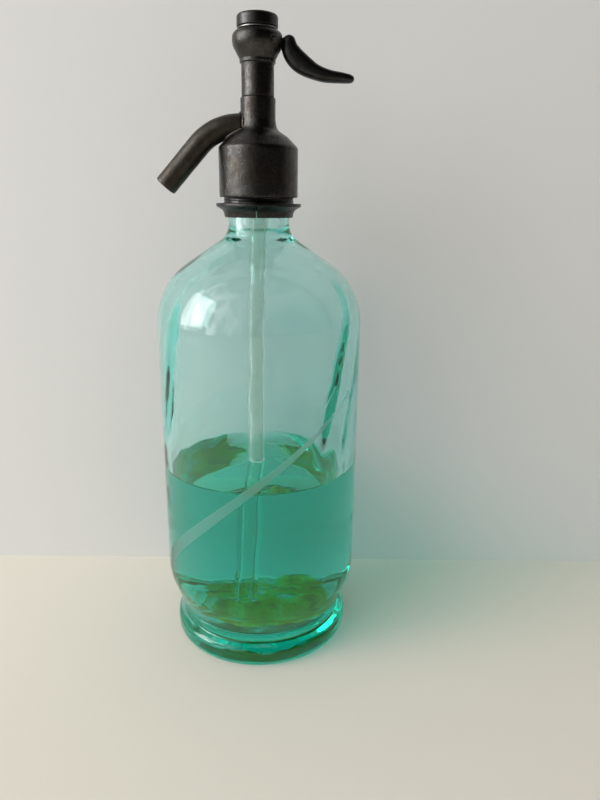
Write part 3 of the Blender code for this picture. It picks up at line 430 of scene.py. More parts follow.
def make_water():
    finish, tree, shader, output, where = new_finish("still_water")
    wave = add(tree, "TexNoise", {"Vector": where, "Scale": per_metre(WAVE_MM), "Detail": 1.0})
    bump = add(tree, "Bump", {"Height": wave, "Strength": 0.15, "Distance": 0.3 * MM})
    fill(shader, {"Base Color": "#ffffff", "Transmission Weight": 1.0, "IOR": WATER_IOR,
                  "Roughness": 0.0, "Normal": bump})
    through = add(tree, "BsdfRefraction", {"IOR": WATER_IOR, "Normal": bump})
    above = add(tree, "MapRange", {"Value": add(tree, "NewGeometry").outputs["Backfacing"],
                                   "To Min": UNMIRRORED, "To Max": 0.0})
    top = add(tree, "MixShader", {0: above, 1: shader, 2: through})
    side = add(tree, "BsdfTransparent", {"Color": "#ffffff"})
    lamps_through(tree, output, where_wet(tree, top, side), "#fcfefd")
    # The water's absorption is painted shade, not the colour of the water itself.
    colour, density = WATER_PAINTED_SHADE
    fill(output, {"Volume": add(tree, "VolumeAbsorption", {"Color": colour, "Density": density})})
    return finish


WATER = make_water()

# %% [markdown]
# ### Glass of the dip tube
# The tube is thin drawn glass. Hard water has left a whitish film on its dry part, so it shows as a pale
# column. Under water the film is wet and clear, and glass in water bends light hardly at all: only two
# thin lines show its edges. One mesh can't be both, so the tube is made in two pieces, and the wet one
# has the ratio of the two indices, 1.50 / 1.333.

# %% Make the two tube glasses
TUBE_IOR = 1.50
FILM_MM = 9.0


def make_tube_glass(name, ior, cover, tint):
    finish, tree, shader, output, where = new_finish(name)
    film = add(tree, "TexNoise", {"Vector": where, "Scale": per_metre(FILM_MM), "Detail": 4.0})
    rough = add(tree, "MapRange", {"Value": film, "To Min": 0.02, "To Max": 0.05 + cover * 0.6})
    shade = add(tree, "Mix", {0: film, 6: "#ffffff", 7: tint}, data_type="RGBA")
    fill(shader, {"Base Color": shade, "Transmission Weight": 1.0 - cover, "IOR": ior,
                  "Roughness": rough})
    lamps_through(tree, output, shader, "#f6fbf8")
    return finish


DRY_TUBE_GLASS = make_tube_glass("drawn_glass_with_lime_film", TUBE_IOR, 0.10, "#cfe2d6")
WET_TUBE_GLASS = make_tube_glass("drawn_glass_under_water", TUBE_IOR / WATER_IOR, 0.0, "#f2fbf6")

# %% [markdown]
# ### Old pewter
# The head is cast pewter, a tin alloy, turned and polished when new. A century of handling has left a
# dark grey patina with fine pits, browner where solder and steel meet it, and rubbed paler on the edges
# and where hands go. Metal shows only what it mirrors, so its colour stays dark, its roughness does most
# of the work, and the pits are bump. Pointiness, which finds the edges, brings out the rubbed metal.

# %% Make the pewters
PIT_MM = 0.9
STAIN_MM = 11
SMEAR_MM = 4


def make_pewter(name, dark, rubbed, stain, rough_low, rough_high, wear=0.35, pits=0.6):
    finish, tree, shader, _, where = new_finish(name)
    cloud, smear, pit = (add(tree, "TexNoise", {"Vector": where, "Scale": per_metre(size),
                                                "Detail": detail, "Roughness": rough})
                         for size, detail, rough in
                         ((STAIN_MM, 5.0, 0.62), (SMEAR_MM, 6.0, 0.7), (PIT_MM, 4.0, 0.75)))
    edge = add(tree, "NewGeometry").outputs["Pointiness"]
    sharp = add(tree, "MapRange", {"Value": edge, "From Min": 0.505, "From Max": 0.56})
    patch = add(tree, "MapRange", {"Value": smear, "From Min": 0.38, "From Max": 0.80})
    bare = add(tree, "Math", {0: sharp, 1: patch}, operation="MAXIMUM")
    bare = add(tree, "Math", {0: bare, 1: wear}, operation="MULTIPLY")
    brown = add(tree, "MapRange", {"Value": cloud, "From Min": 0.45, "From Max": 0.72})
    base = add(tree, "Mix", {0: brown, 6: dark, 7: stain}, data_type="RGBA")
    worn = add(tree, "Mix", {0: bare, 6: base, 7: rubbed}, data_type="RGBA")
    rough = add(tree, "MapRange", {"Value": smear, "From Min": 0.3, "From Max": 0.7,
                                   "To Min": rough_high, "To Max": rough_low})
    dents = add(tree, "Bump", {"Height": smear, "Strength": 0.25, "Distance": 0.3 * MM})
    grain = add(tree, "Bump", {"Height": pit, "Strength": pits, "Distance": 0.16 * MM, "Normal": dents})
    fill(shader, {"Metallic": 1.0, "Base Color": worn, "Roughness": rough, "Normal": grain})
    return finish


PEWTER = make_pewter("cast_pewter_with_grey_patina", "#3b3a38", "#7f7d7a", "#39322b",
                     0.22, 0.37, wear=0.32, pits=0.8)
SPOUT_PEWTER = make_pewter("cast_pewter_with_brown_patina", "#3b3833", "#716b63", "#41382d",
                           0.30, 0.46, pits=1.0)
DARK_PEWTER = make_pewter("cast_pewter_gone_black", "#373737", "#6c6b6a", "#302d2a", 0.27, 0.41)
BRIGHT_PEWTER = make_pewter("rubbed_pewter", "#84827f", "#b4b2ae", "#6d655c", 0.26, 0.40)
print("pewters:", len(PEWTER.node_tree.nodes), "nodes each")

# %% [markdown]
# ### Brass, rubber, leather and steel inside the head
# These pieces are inside and are seen only when the head is opened, but they get their real finishes:
# turned brass with fine tool rings, moulded black rubber, greased leather, and drawn steel wire. Tool
# rings run round a piece, so their noise is stretched flat and changes only with height.

# %% Make the finishes of the inner pieces
RING_MM = 0.35
HIDE_MM = 0.8
DUST_MM = 0.5
FLATTEN = (0.05, 0.05, 1.0)


def make_turned_metal(name, colour, dulled, roughness):
    finish, tree, shader, _, where = new_finish(name)
    flat = add(tree, "VectorMath", {0: where, 1: FLATTEN}, operation="MULTIPLY")
    rings = add(tree, "TexNoise", {"Vector": flat, "Scale": per_metre(RING_MM), "Detail": 2.0})
    cloud = add(tree, "TexNoise", {"Vector": where, "Scale": per_metre(SMEAR_MM), "Detail": 4.0})
    shade = add(tree, "Mix", {0: cloud, 6: colour, 7: dulled}, data_type="RGBA")
    rough = add(tree, "MapRange", {"Value": cloud, "To Min": roughness, "To Max": roughness + 0.2})
    bump = add(tree, "Bump", {"Height": rings, "Strength": 0.2, "Distance": 0.05 * MM})
    fill(shader, {"Metallic": 1.0, "Base Color": shade, "Roughness": rough, "Normal": bump})
    return finish


def make_soft(name, light, dark, grain_mm, roughness, depth_mm):
    finish, tree, shader, _, where = new_finish(name)
    grain = add(tree, "TexNoise", {"Vector": where, "Scale": per_metre(grain_mm), "Detail": 4.0})
    shade = add(tree, "Mix", {0: grain, 6: light, 7: dark}, data_type="RGBA")
    bump = add(tree, "Bump", {"Height": grain, "Strength": 0.4, "Distance": depth_mm * MM})
    fill(shader, {"Base Color": shade, "Roughness": roughness, "Normal": bump})
    return finish


BRASS = make_turned_metal("turned_brass", "#c2a35c", "#8f7440", 0.24)
STEEL = make_turned_metal("turned_steel", "#9b9a97", "#6f6c68", 0.28)
WIRE = make_turned_metal("drawn_spring_steel", "#8e8c88", "#6a6762", 0.24)
RUBBER = make_soft("moulded_black_rubber", "#2c2a29", "#1c1b1a", DUST_MM, 0.72, 0.03)
LEATHER = make_soft("greased_leather", "#6b4a33", "#3d281b", HIDE_MM, 0.66, 0.12)

# %% [markdown]
# ## The bottle
# The bottle is one closed mesh: its outer line up from the hollow under the foot to the lip, and its
# inner line down the neck to the floor. The inner line matters most, because it is what bends the view.
# Blown glass is never even inside. The wall swells and thins a little on its way round and down. Two
# folds of thicker glass run down it, one on each side, and show as dark, slanting streaks. Low on the
# right the wall is thicker, which is why the dark seam of its edge leans inwards there.

# %% Measure the bottle from the model
LIP_Z = BODY_HIGH.z
WALL = 4.7
FLOOR_Z = 15.5
NECK_BORE = 9.6
NECK_RADIUS = 14.4
SHOULDER_Z = 187.9
HEEL_Z = 36.4
SHOULDER_SLOPE = math.tan(math.radians(33.6))
NECK_CORNER_Z = SHOULDER_Z + (BODY_RADIUS - NECK_RADIUS) * SHOULDER_SLOPE
BODY_INSIDE = BODY_RADIUS - WALL
FOOT_RADIUS = BODY_RADIUS - 3.7
WAIST_RADIUS = BODY_RADIUS - 7.6
WAIST_Z = 15.8
HEEL_SLOPE = (BODY_RADIUS - WAIST_RADIUS) / (HEEL_Z - WAIST_Z)
BEAD_NECK_RADIUS = 13.0
LIP_RADIUS = 14.6

BOTTLE_OUTSIDE = [
    (0, 1.6, 0), (17.5, 1.6, 10), (37.5, 0, 10), (FOOT_RADIUS, 0, 5.0),
    (FOOT_RADIUS, 10.4, 4.2), (WAIST_RADIUS, 12.9, 1.5), (WAIST_RADIUS, WAIST_Z, 1.5),
    (BODY_RADIUS, HEEL_Z, 30), (BODY_RADIUS, SHOULDER_Z, 35), (NECK_RADIUS, NECK_CORNER_Z, 10),
    (NECK_RADIUS, NECK_CORNER_Z + 8.3, 1.1), (BEAD_NECK_RADIUS, NECK_CORNER_Z + 10.7, 1.1),
    (BEAD_NECK_RADIUS, NECK_CORNER_Z + 18.7, 0.4), (LIP_RADIUS, LIP_Z - 7.4, 0.6),
    (LIP_RADIUS, LIP_Z, 1.1), (NECK_BORE, LIP_Z, 1.1),
]
print("bottle:", round(BODY_RADIUS * 2, 1), "mm across,", round(LIP_Z, 1), "mm to the lip")


# %% Draw the cavity
def cavity(clearance):
    """The inside from the neck to the middle of the floor, drawn in by a clearance."""
    wall = WALL + clearance
    body = BODY_RADIUS - wall
    neck = NECK_BORE - clearance
    drop = wall * (math.hypot(1, SHOULDER_SLOPE) - SHOULDER_SLOPE)
    neck_z = NECK_CORNER_Z - drop + (NECK_RADIUS - neck - wall) * SHOULDER_SLOPE
    heel_z = HEEL_Z + wall * (math.hypot(1, HEEL_SLOPE) - 1) / HEEL_SLOPE
    floor_radius = body - (heel_z - FLOOR_Z - clearance) * HEEL_SLOPE
    return [(neck, neck_z, 5), (body, SHOULDER_Z - drop, 30), (body, heel_z, 25),
            (floor_radius, FLOOR_Z + clearance, 6), (0, FLOOR_Z + clearance, 0)]


def ease(value, low, high):
    share = min(1.0, max(0.0, (value - low) / (high - low)))
    return share * share * (3 - 2 * share)


# %% Let its wall wander
# A fold: degrees from the front, lean in degrees per mm, top, bottom and depth in mm.
FOLDS = ((72, -0.36, 208, 96, 1.4), (-54, -0.30, 208, 104, 1.4))
FOLD_WIDTH = 7.0
# The thick side: where its edge is, its lean, and how much thicker the wall is there.
THICK_SIDE = (74, -0.375, 1.5)
# A wave: its height in mm, bends round the bottle, radians per mm of height, and a start.
WAVES = ((0.20, 3, 1 / 31, 0.8), (0.14, 5, -1 / 23, 0), (0.10, 2, 1 / 7.5, 0), (0.06, -4, 1 / 3.9, 0))


def fold(angle, height, front, lean, top, bottom, depth):
    middle = math.radians(front + lean * (SHOULDER_Z - height) - 90)
    apart = (angle - middle + math.pi) % math.tau - math.pi
    across = math.exp(-(apart * BODY_INSIDE / FOLD_WIDTH) ** 2)
    return depth * across * ease(height, bottom, bottom + 25) * (1 - ease(height, top - 60, top))


def wander(radius, angle, height):
    """How far the inner wall moves out, in mm: slow waves, less where the wall is thicker."""
    fade = ease(height, FLOOR_Z + 1, 45) * (1 - ease(height, 185, 215))
    waves = sum(size * math.sin(bends * angle + height * rise + start)
                for size, bends, rise, start in WAVES)
    front, lean, most = THICK_SIDE
    edge = front + lean * (SHOULDER_Z - height)
    turned = (math.degrees(angle) + 90) % 360
    thicker = most * ease(turned, edge - 8, edge + 22) * (1 - ease(turned, 110, 170))
    thicker *= 1 - ease(height, 120, 185)
    return (waves - thicker) * fade - sum(fold(angle, height, *row) for row in FOLDS)


# %% Make the bottle
BOTTLE_SIDES = 288
OUTSIDE_STEP = 4.0
INSIDE_STEP = 2.5
WATER_LEVEL = 96.0
MENISCUS_RISE = 1.4
WET_TOP = WATER_LEVEL + MENISCUS_RISE


def with_level(points, level):
    """Adds a point where a falling line crosses a level."""
    for i in range(1, len(points)):
        if points[i].y < level < points[i - 1].y:
            share = (points[i - 1].y - level) / (points[i - 1].y - points[i].y)
            return points[:i] + [points[i - 1].lerp(points[i], share)] + points[i:]
    return points


def is_wet(spot, normal):
    """True on the cavity's wall and floor below the water's edge."""
    middle = BODY_RADIUS - WALL / 2 - max(0.0, HEEL_Z - spot.z) * HEEL_SLOPE
    return FLOOR_Z - 1 < spot.z < WET_TOP and math.hypot(spot.x, spot.y) < middle


def make_bottle():
    outer = divided(rounded(BOTTLE_OUTSIDE), OUTSIDE_STEP)
    inner = divided(rounded([BOTTLE_OUTSIDE[-1]] + cavity(0)), INSIDE_STEP)
    inner = with_level(inner, WET_TOP)[1:]
    within = {(point.x, point.y) for point in inner}

    def shift(radius, angle, height):
        if (radius, height) in within:
            radius += wander(radius, angle, height)
        return radius, height

    blown = spun(outer + inner, BOTTLE_SIDES, shift)
    mark_wet(make_piece("bottle_glass", blown, BOTTLE_GLASS, "bottle", 50), is_wet)


make_bottle()

# %% [markdown]
# ## The water
# The water fills the cavity to its level, and clings to the glass: its edge climbs the wall in a curve
# 1.4 mm high, which draws the thin dark line at the water's rim.

# %% Make the water's body
OVERLAP = 0.12
MENISCUS_WIDTH = 3.0
MENISCUS_STEPS = 8
SURFACE_RADII = (0, 12, 28)


def faces_glass(spot, normal):
    """True on the water's side and underside, which lie in the glass."""
    return normal.z < -0.5 or normal.dot(Vector((spot.x, spot.y, 0)).normalized()) > 0.3


def make_water_body():
    below = [p for p in divided(rounded(cavity(-OVERLAP)), INSIDE_STEP) if p.y < WATER_LEVEL]
    surface = [Vector((radius, WATER_LEVEL)) for radius in SURFACE_RADII]
    for step in range(MENISCUS_STEPS + 1):
        share = step / MENISCUS_STEPS
        surface.append(Vector((BODY_INSIDE + OVERLAP - MENISCUS_WIDTH * (1 - share),
                               WATER_LEVEL + MENISCUS_RISE * share ** 3)))

    def shift(radius, angle, height):
        flat = height <= WATER_LEVEL and radius < BODY_INSIDE - MENISCUS_WIDTH and height > FLOOR_Z + 30
        return radius + (0 if flat else wander(radius, angle, height)), height

    still = spun(surface + below, BOTTLE_SIDES, shift)
    mark_wet(make_piece("water_body", still, WATER, "water", 60), faces_glass)


make_water_body()

# %% [markdown]
# ## The dip tube
# The tube hangs from its flange under the head and leans a little towards the spout below the neck. It
# is drawn glass, so its bore is smooth and its lower end is rounded by the flame.

# %% Lay out the tube's path
TUBE_RADIUS = 4.5
TUBE_BORE = 2.5
TUBE_FOOT, TUBE_TOP = (corner.z for corner in corners_mm("dip_tube"))
TUBE_BEND_TOP = 221.55
TUBE_BEND_LENGTH = 30
TUBE_LEAN = 0.03225
TUBE_SIDES = 40
TUBE_STEP = 3.0


def tube_x(height):
    fall = max(0.0, TUBE_BEND_TOP - height)
    if fall < TUBE_BEND_LENGTH:
        return -TUBE_LEAN * fall ** 2 / (2 * TUBE_BEND_LENGTH)
    return -TUBE_LEAN * (fall - TUBE_BEND_LENGTH / 2)


def tube_rings(low, high, radius):
    count = max(2, round((high - low) / TUBE_STEP))
    heights = [high + (low - high) * i / count for i in range(count + 1)]
    path = [Vector((tube_x(z), 0, z)) for z in heights]
    return [ring_round(spot, way, radius, TUBE_SIDES) for spot, way in zip(path, headings(path))]


# %% Make the dry and the wet part
FLANGE_RADIUS = 7.5
FLANGE_THICKNESS = 1.6
LIP_ROUND = 1.0
LIP_STEPS = 8
PARTING = 0.05


def make_dip_tube():
    under = TUBE_TOP - FLANGE_THICKNESS
    down = Vector((0, 0, -1))
    flange = [ring_round((0, 0, z), down, r, TUBE_SIDES) for r, z in
              ((FLANGE_RADIUS - 0.4, TUBE_TOP), (FLANGE_RADIUS, TUBE_TOP - 0.4), (FLANGE_RADIUS, under),
               (TUBE_RADIUS + 0.5, under), (TUBE_RADIUS, under - 0.5))]
    outer = tube_rings(WATER_LEVEL, under - 1.0, TUBE_RADIUS)
    inner = tube_rings(WATER_LEVEL, TUBE_TOP, TUBE_BORE)
    dry = skinned(flange + outer + inner[::-1], closed=True)
    make_piece("dip_tube_dry", dry, DRY_TUBE_GLASS, "dip_tube")
    foot = TUBE_FOOT + LIP_ROUND
    outer, inner = (tube_rings(foot, WATER_LEVEL - PARTING, r) for r in (TUBE_RADIUS, TUBE_BORE))
    middle, half = (TUBE_RADIUS + TUBE_BORE) / 2, (TUBE_RADIUS - TUBE_BORE) / 2
    lip = []
    for step in range(1, LIP_STEPS):
        turned = math.pi * step / LIP_STEPS
        lip.append(ring_round((tube_x(TUBE_FOOT), 0, foot - math.sin(turned) * LIP_ROUND), down,
                              middle + half * math.cos(turned), TUBE_SIDES))
    wet = skinned(outer + lip + inner[::-1], closed=True)
    make_piece("dip_tube_wet", wet, WET_TUBE_GLASS, "dip_tube")


make_dip_tube()

# %% [markdown]
# ## The deposit on the floor
# Water that stands for years leaves lime and rust. Here it lies on the floor of the bottle as a thin
# crust, pale ochre with rusty blotches and browner at the left, worn away in places. It reaches further
# to the back, where it climbs the curve of the wall a little. It is a low mesh of its own: a sheet with
# a ragged rim, raised and lowered by noise, closed underneath.

# %% Make the deposit's finish
BLOTCH_MM = 11
CRUST_MM = 5.0
GRAIN_MM = 1.0


def make_deposit_finish():
    finish, tree, shader, output, where = new_finish("lime_and_rust_crust")
    broad, crust, grain = (
        add(tree, "TexNoise", {"Vector": where, "Scale": per_metre(size), "Detail": detail})
        for size, detail in ((BLOTCH_MM, 2.0), (CRUST_MM, 1.5), (GRAIN_MM, 2.0)))
    limy = add(tree, "MapRange", {"Value": broad, "From Min": 0.38, "From Max": 0.60})
    lime = add(tree, "Mix", {0: limy, 6: "#f2b72c", 7: "#fff27c"}, data_type="RGBA")
    rusty = add(tree, "MapRange", {"Value": crust, "From Min": 0.50, "From Max": 0.72})
    rust = add(tree, "Mix", {0: rusty, 6: lime, 7: "#f09428"}, data_type="RGBA")
    left = add(tree, "MapRange", {"Value": add(tree, "SeparateXYZ", {0: where}).outputs["X"],
                                  "From Min": -6 * MM, "From Max": -26 * MM, "To Max": 0.55})
    brown = add(tree, "Mix", {0: left, 6: rust, 7: "#744416"}, data_type="RGBA")
    shade = add(tree, "MapRange", {"Value": grain, "From Min": 0.35, "From Max": 0.65,
                                   "To Min": 0.80, "To Max": 1.0})
    colour = add(tree, "Mix", {0: 1.0, 6: brown, 7: shade}, data_type="RGBA", blend_type="MULTIPLY")
    bump = add(tree, "Bump", {"Height": grain, "Strength": 0.3, "Distance": 0.2 * MM})
    fill(shader, {"Base Color": colour, "Roughness": 0.85, "Normal": bump})
    gone = add(tree, "MapRange", {"Value": broad, "From Min": 0.50, "From Max": 0.68,
                                  "To Min": 0.12, "To Max": 0.95})
    clear = add(tree, "BsdfTransparent")
    fill(output, {"Surface": add(tree, "MixShader", {0: gone, 1: shader, 2: clear})})
    return finish


DEPOSIT = make_deposit_finish()

# %% Make the deposit's mesh
CRUST_REACH = 27.0
CRUST_RINGS = 26
CRUST_SIDES = 96
CRUST_MIDDLE = Vector((0, 8.0))
CRUST_STRETCH = 1.2
CRUST_LIMIT = 38.3
CRUST_GAP = 0.1
CRUST_HEIGHT = 0.45
CRUST_THINNEST = 0.06


def floor_height(radius):
    """The height of the floor at a radius, or of the wall where it curves up from the floor."""
    line = rounded(cavity(CRUST_GAP))[::-1]
    for low, high in zip(line, line[1:]):
        if low.x <= radius <= high.x:
            return low.y + (high.y - low.y) * (radius - low.x) / (high.x - low.x)
    return FLOOR_Z


def crust_rim(angle):
    """Where the crust ends at an angle: a ragged rim, which climbs the wall a little at the back."""
    spot = Vector((math.cos(angle) * 1.3, math.sin(angle) * 1.3, 4.2))
    reach = CRUST_REACH * (0.88 + 0.30 * noise.noise(spot) + 0.10 * noise.noise(spot * 5))
    rim = CRUST_MIDDLE + Vector((reach * math.cos(angle), reach * CRUST_STRETCH * math.sin(angle)))
    return rim * min(1.0, CRUST_LIMIT / rim.length)


def make_deposit():
    middle = floor_height(CRUST_MIDDLE.length)
    top, bottom = ([[(*CRUST_MIDDLE, middle + rise)]] for rise in (0.5, 0.0))
    rims = [crust_rim(math.tau * side / CRUST_SIDES) for side in range(CRUST_SIDES)]
    for ring in range(1, CRUST_RINGS + 1):
        share = ring / CRUST_RINGS
        upper, lower = [], []
        for rim in rims:
            x, y = CRUST_MIDDLE.lerp(rim, share)
            rough = noise.noise(Vector((x, y, 0)) / 5.0) * 0.2 + noise.noise(Vector((x, y, 7)) / 11.0) * 0.3
            thick = max(CRUST_THINNEST, (CRUST_HEIGHT + rough) * (1 - ease(share, 0.8, 1.0)))
            under = floor_height(math.hypot(x, y))
            upper.append((x, y, under + thick))
            lower.append((x, y, under))
        top.append(upper)
        bottom.append(lower)
    make_piece("lime_and_rust", skinned(bottom + top[::-1]), DEPOSIT, sharp=180)


make_deposit()

# %% [markdown]
# ## The bell
# The bell is the skirt that screws over the collar, cast in one with the lower column. Castings of soft
# metal are never true after a hundred years: each point is moved by a few hundredths of a millimetre of
# noise, and the foot of the skirt is a little chewed.

# %% Draw the bell's outer line
HEAD_SIDES = 160
BELL_LOW, BELL_HIGH = corners_mm("bell_casting")
BELL_FOOT_Z, COLUMN_TOP_Z = BELL_LOW.z, BELL_HIGH.z
BELL_RADIUS = BELL_HIGH.y
BELL_BORE = BELL_RADIUS - 1.6
COLUMN_RADIUS = 8.0
BELL_TOP_Z = 250.45
CROWN = (BELL_RADIUS - 4.8, 255.15)
COLUMN_ROOT = (8.7, 258.15)
DENT = 0.05
DENT_MM = 4.5


def bell_line(grow=0.0):
    return [
        (BELL_RADIUS + grow, BELL_FOOT_Z, 0.5), (BELL_RADIUS + grow, BELL_TOP_Z + grow, 2.2),
        (CROWN[0] + grow, CROWN[1] + grow, 8), (COLUMN_ROOT[0] + grow, COLUMN_ROOT[1] + grow, 4.0),
        (COLUMN_RADIUS + grow, COLUMN_ROOT[1] + 4, 0.5), (COLUMN_RADIUS + grow, COLUMN_TOP_Z, 0.25),
    ]


def dented(radius, angle, height, depth=DENT):
    """Moves a point in by noise, as wear and casting leave a metal surface."""
    spot = Vector((radius * math.cos(angle), radius * math.sin(angle), height)) / DENT_MM
    return radius - depth * (0.5 + 0.5 * noise.noise(spot)), height


# %% Make the bell
SOCKET_RADIUS = 6.9
SOCKET_DEPTH = 5.0
CHAMBER_RADIUS = 5.8
CHAMBER_FOOT_Z = 249.75
SEAT_RADIUS = 6.5
CROWN_UNDER_Z = 245.25
CHEW = 0.18
CHEW_ABOVE_FOOT = 0.6
SPOUT_Z = 259.85
SPOUT_BORE = 2.6
X_AXIS = Vector((1, 0, 0))


def make_bell():
    socket_z = COLUMN_TOP_Z - SOCKET_DEPTH
    line = divided(rounded([(BELL_BORE, BELL_FOOT_Z, 0)] + bell_line() + [
        (SOCKET_RADIUS, COLUMN_TOP_Z, 0.2), (SOCKET_RADIUS, socket_z, 0), (CHAMBER_RADIUS, socket_z, 0),
        (CHAMBER_RADIUS, CHAMBER_FOOT_Z, 0), (SEAT_RADIUS, CHAMBER_FOOT_Z, 0),
        (SEAT_RADIUS, CROWN_UNDER_Z, 0), (BELL_BORE, CROWN_UNDER_Z, 0.8),
    ]), 1.2)

    def shift(radius, angle, height):
        if height < BELL_FOOT_Z + CHEW_ABOVE_FOOT:
            height += CHEW * max(0.0, noise.noise(Vector((math.cos(angle), math.sin(angle), 2)) * 5))
        return dented(radius, angle, height)

    bell = make_piece("bell", spun(line, HEAD_SIDES, shift), PEWTER, "bell_casting", 40)
    carve(bell, skinned([ring_round((x, 0, SPOUT_Z), X_AXIS, SPOUT_BORE, 32)
                         for x in (-BELL_RADIUS, -CHAMBER_RADIUS + 2)]))


make_bell()

# %% [markdown]
# ## The spout
# The spout is a cast pipe, bent down by a little over half a right angle and soldered to the column's
# root. A bead of solder runs round the joint: its line is found by following the pipe's surface inwards
# until it meets the bell's outer line.

# %% Lay out the spout
SPOUT_RADIUS = 5.3
SPOUT_CORNER = Vector((-19.7, 0, SPOUT_Z))
SPOUT_REACH = 36.0
SPOUT_ANGLE = math.radians(48)
SPOUT_BEND = 26.0
SPOUT_SIDES = 72
DOWN_SPOUT = Vector((-math.cos(SPOUT_ANGLE), 0, -math.sin(SPOUT_ANGLE)))


def spout_path(steps):
    reach = SPOUT_BEND * math.tan(SPOUT_ANGLE / 2)
    path = [Vector((-COLUMN_RADIUS * share, 0, SPOUT_Z)) for share in (0.5, 0.8)]
    for step in range(steps + 1):
        angle = SPOUT_ANGLE * step / steps
        path.append(Vector((SPOUT_CORNER.x + reach - SPOUT_BEND * math.sin(angle), 0,
                            SPOUT_Z - SPOUT_BEND * (1 - math.cos(angle)))))
    straight = SPOUT_REACH - reach
    return path + [SPOUT_CORNER + DOWN_SPOUT * (reach + straight * step / 12) for step in range(1, 13)]


def outer_radius_at(height):
    """The bell's outer radius at a height, read from its rounded line."""
    line = rounded(bell_line())
    for low, high in zip(line, line[1:]):
        if low.y <= height <= high.y and high.y > low.y:
            return low.x + (high.x - low.x) * (height - low.y) / (high.y - low.y)
    return COLUMN_RADIUS


# %% Make the spout
# The spout's lip: how far each ring lies in from the outer wall, or out from the bore, and past the end.
LIP_OUTSIDE = ((0.12, -0.35), (0.35, -0.1), (0.6, 0.0))
LIP_INSIDE = ((0.5, 0.0), (0.15, -0.1))
SADDLE_GAP = 0.05


def make_spout():
    path = spout_path(28)
    outer, inner = ([ring_round(spot, way, radius, SPOUT_SIDES) for spot, way in zip(path, headings(path))]
                    for radius in (SPOUT_RADIUS, SPOUT_BORE))
    for spot, ring in zip(path, outer):
        for i, point in enumerate(ring):
            ring[i] = point + (spot - point).normalized() * DENT * (1 + noise.noise(point / 4))
    lip = [ring_round(path[-1] + DOWN_SPOUT * fall, DOWN_SPOUT, radius, SPOUT_SIDES) for radius, fall in
           [(SPOUT_RADIUS - inset, fall) for inset, fall in LIP_OUTSIDE]
           + [(SPOUT_BORE + outset, fall) for outset, fall in LIP_INSIDE]]
    pipe = skinned(outer[:-1] + lip + inner[-2::-1], closed=True)
    spout = make_piece("spout_pipe", pipe, SPOUT_PEWTER, "spout")
    saddle = [(0, BELL_FOOT_Z, 0)] + bell_line(SADDLE_GAP) + [(0, COLUMN_TOP_Z, 0)]
    carve(spout, spun(rounded(saddle), HEAD_SIDES))


make_spout()

# %% Run the solder round its joint
BEAD_RADIUS = 0.62
BEAD_SWELL = 0.16
BEAD_SIDES = 12
BEAD_PROUD = 0.15


def make_solder():
    path = spout_path(60)
    pipe = [ring_round(spot, way, SPOUT_RADIUS, SPOUT_SIDES) for spot, way in zip(path, headings(path))]
    line = []
    for side in range(SPOUT_SIDES):
        inwards = (ring[side] for ring in pipe[::-1])
        line.append(next(point for point in inwards
                         if math.hypot(point.x, point.y) <= outer_radius_at(point.z) + BEAD_PROUD))
    rings = []
    for i, point in enumerate(line):
        way = (line[(i + 1) % SPOUT_SIDES] - line[i - 1]).normalized()
        size = BEAD_RADIUS + BEAD_SWELL * noise.noise(point / 2.5)
        rings.append(ring_round(point, way, size, BEAD_SIDES, way.cross(X_AXIS).normalized()))
    make_piece("solder_seam", skinned(rings, closed=True), SPOUT_PEWTER)


make_solder()

# %% [markdown]
# ## The collar
# Two half rings grip the glass under its bead and carry the thread that the bell screws down on. Only
# their flange shows, with a dark gap above it where the last turns of the thread can be seen.

# %% Make the collar halves
COLLAR_LOW, COLLAR_HIGH = corners_mm("collar_left")
COLLAR_FOOT_Z, COLLAR_TOP_Z = COLLAR_LOW.z, COLLAR_HIGH.z
COLLAR_RADIUS = COLLAR_HIGH.y
FLANGE_Z = COLLAR_FOOT_Z + 5
FLANGE_TOP_Z = FLANGE_Z + 1.4
THREAD_RADIUS = 16.5
THREAD_PITCH = 1.3
THREAD_DEPTH = 0.35
COLLAR_INSIDE = [(15.0, COLLAR_TOP_Z, 0), (15.0, 231.25, 0), (13.4, 229.85, 0), (13.4, 222.65, 0),
                 (14.8, 220.25, 0)]
COLLAR_TRIM = 0.15 / 13
COLLAR_DENT = 0.06


def threaded(radius, angle, height):
    if radius > THREAD_RADIUS - 0.2 and FLANGE_TOP_Z + 0.3 < height < COLLAR_TOP_Z - 0.5:
        turned = (height / THREAD_PITCH + angle / math.tau) % 1
        return radius - THREAD_DEPTH * abs(2 * turned - 1), height
    return dented(radius, angle, height, COLLAR_DENT)


def make_collar():
    line = divided(rounded([
        (14.8, COLLAR_FOOT_Z, 0), (16.2, COLLAR_FOOT_Z, 0.4), (16.7, COLLAR_FOOT_Z + 3.1, 3),
        (COLLAR_RADIUS, FLANGE_Z, 0.4), (COLLAR_RADIUS, FLANGE_TOP_Z, 0.5),
        (THREAD_RADIUS, FLANGE_TOP_Z, 0.3), (THREAD_RADIUS, COLLAR_TOP_Z, 0.4),
    ] + COLLAR_INSIDE), 0.35)
    sweep = math.pi - 2 * COLLAR_TRIM
    for name, start in (("collar_left", math.pi / 2), ("collar_right", -math.pi / 2)):
        made = spun(line, HEAD_SIDES // 2, threaded, start + COLLAR_TRIM, sweep)
        bmesh.ops.triangulate(made, faces=[f for f in made.faces if len(f.verts) > 4])
        make_piece("split_" + name, made, DARK_PEWTER, name, 40)


make_collar()

# %% [markdown]
# ## Upper column and ball
# The upper column stands in the lower one, and its joint shows as a fine line. It swells into the ball
# that houses the lever's pin, with a slot on the lever's side.

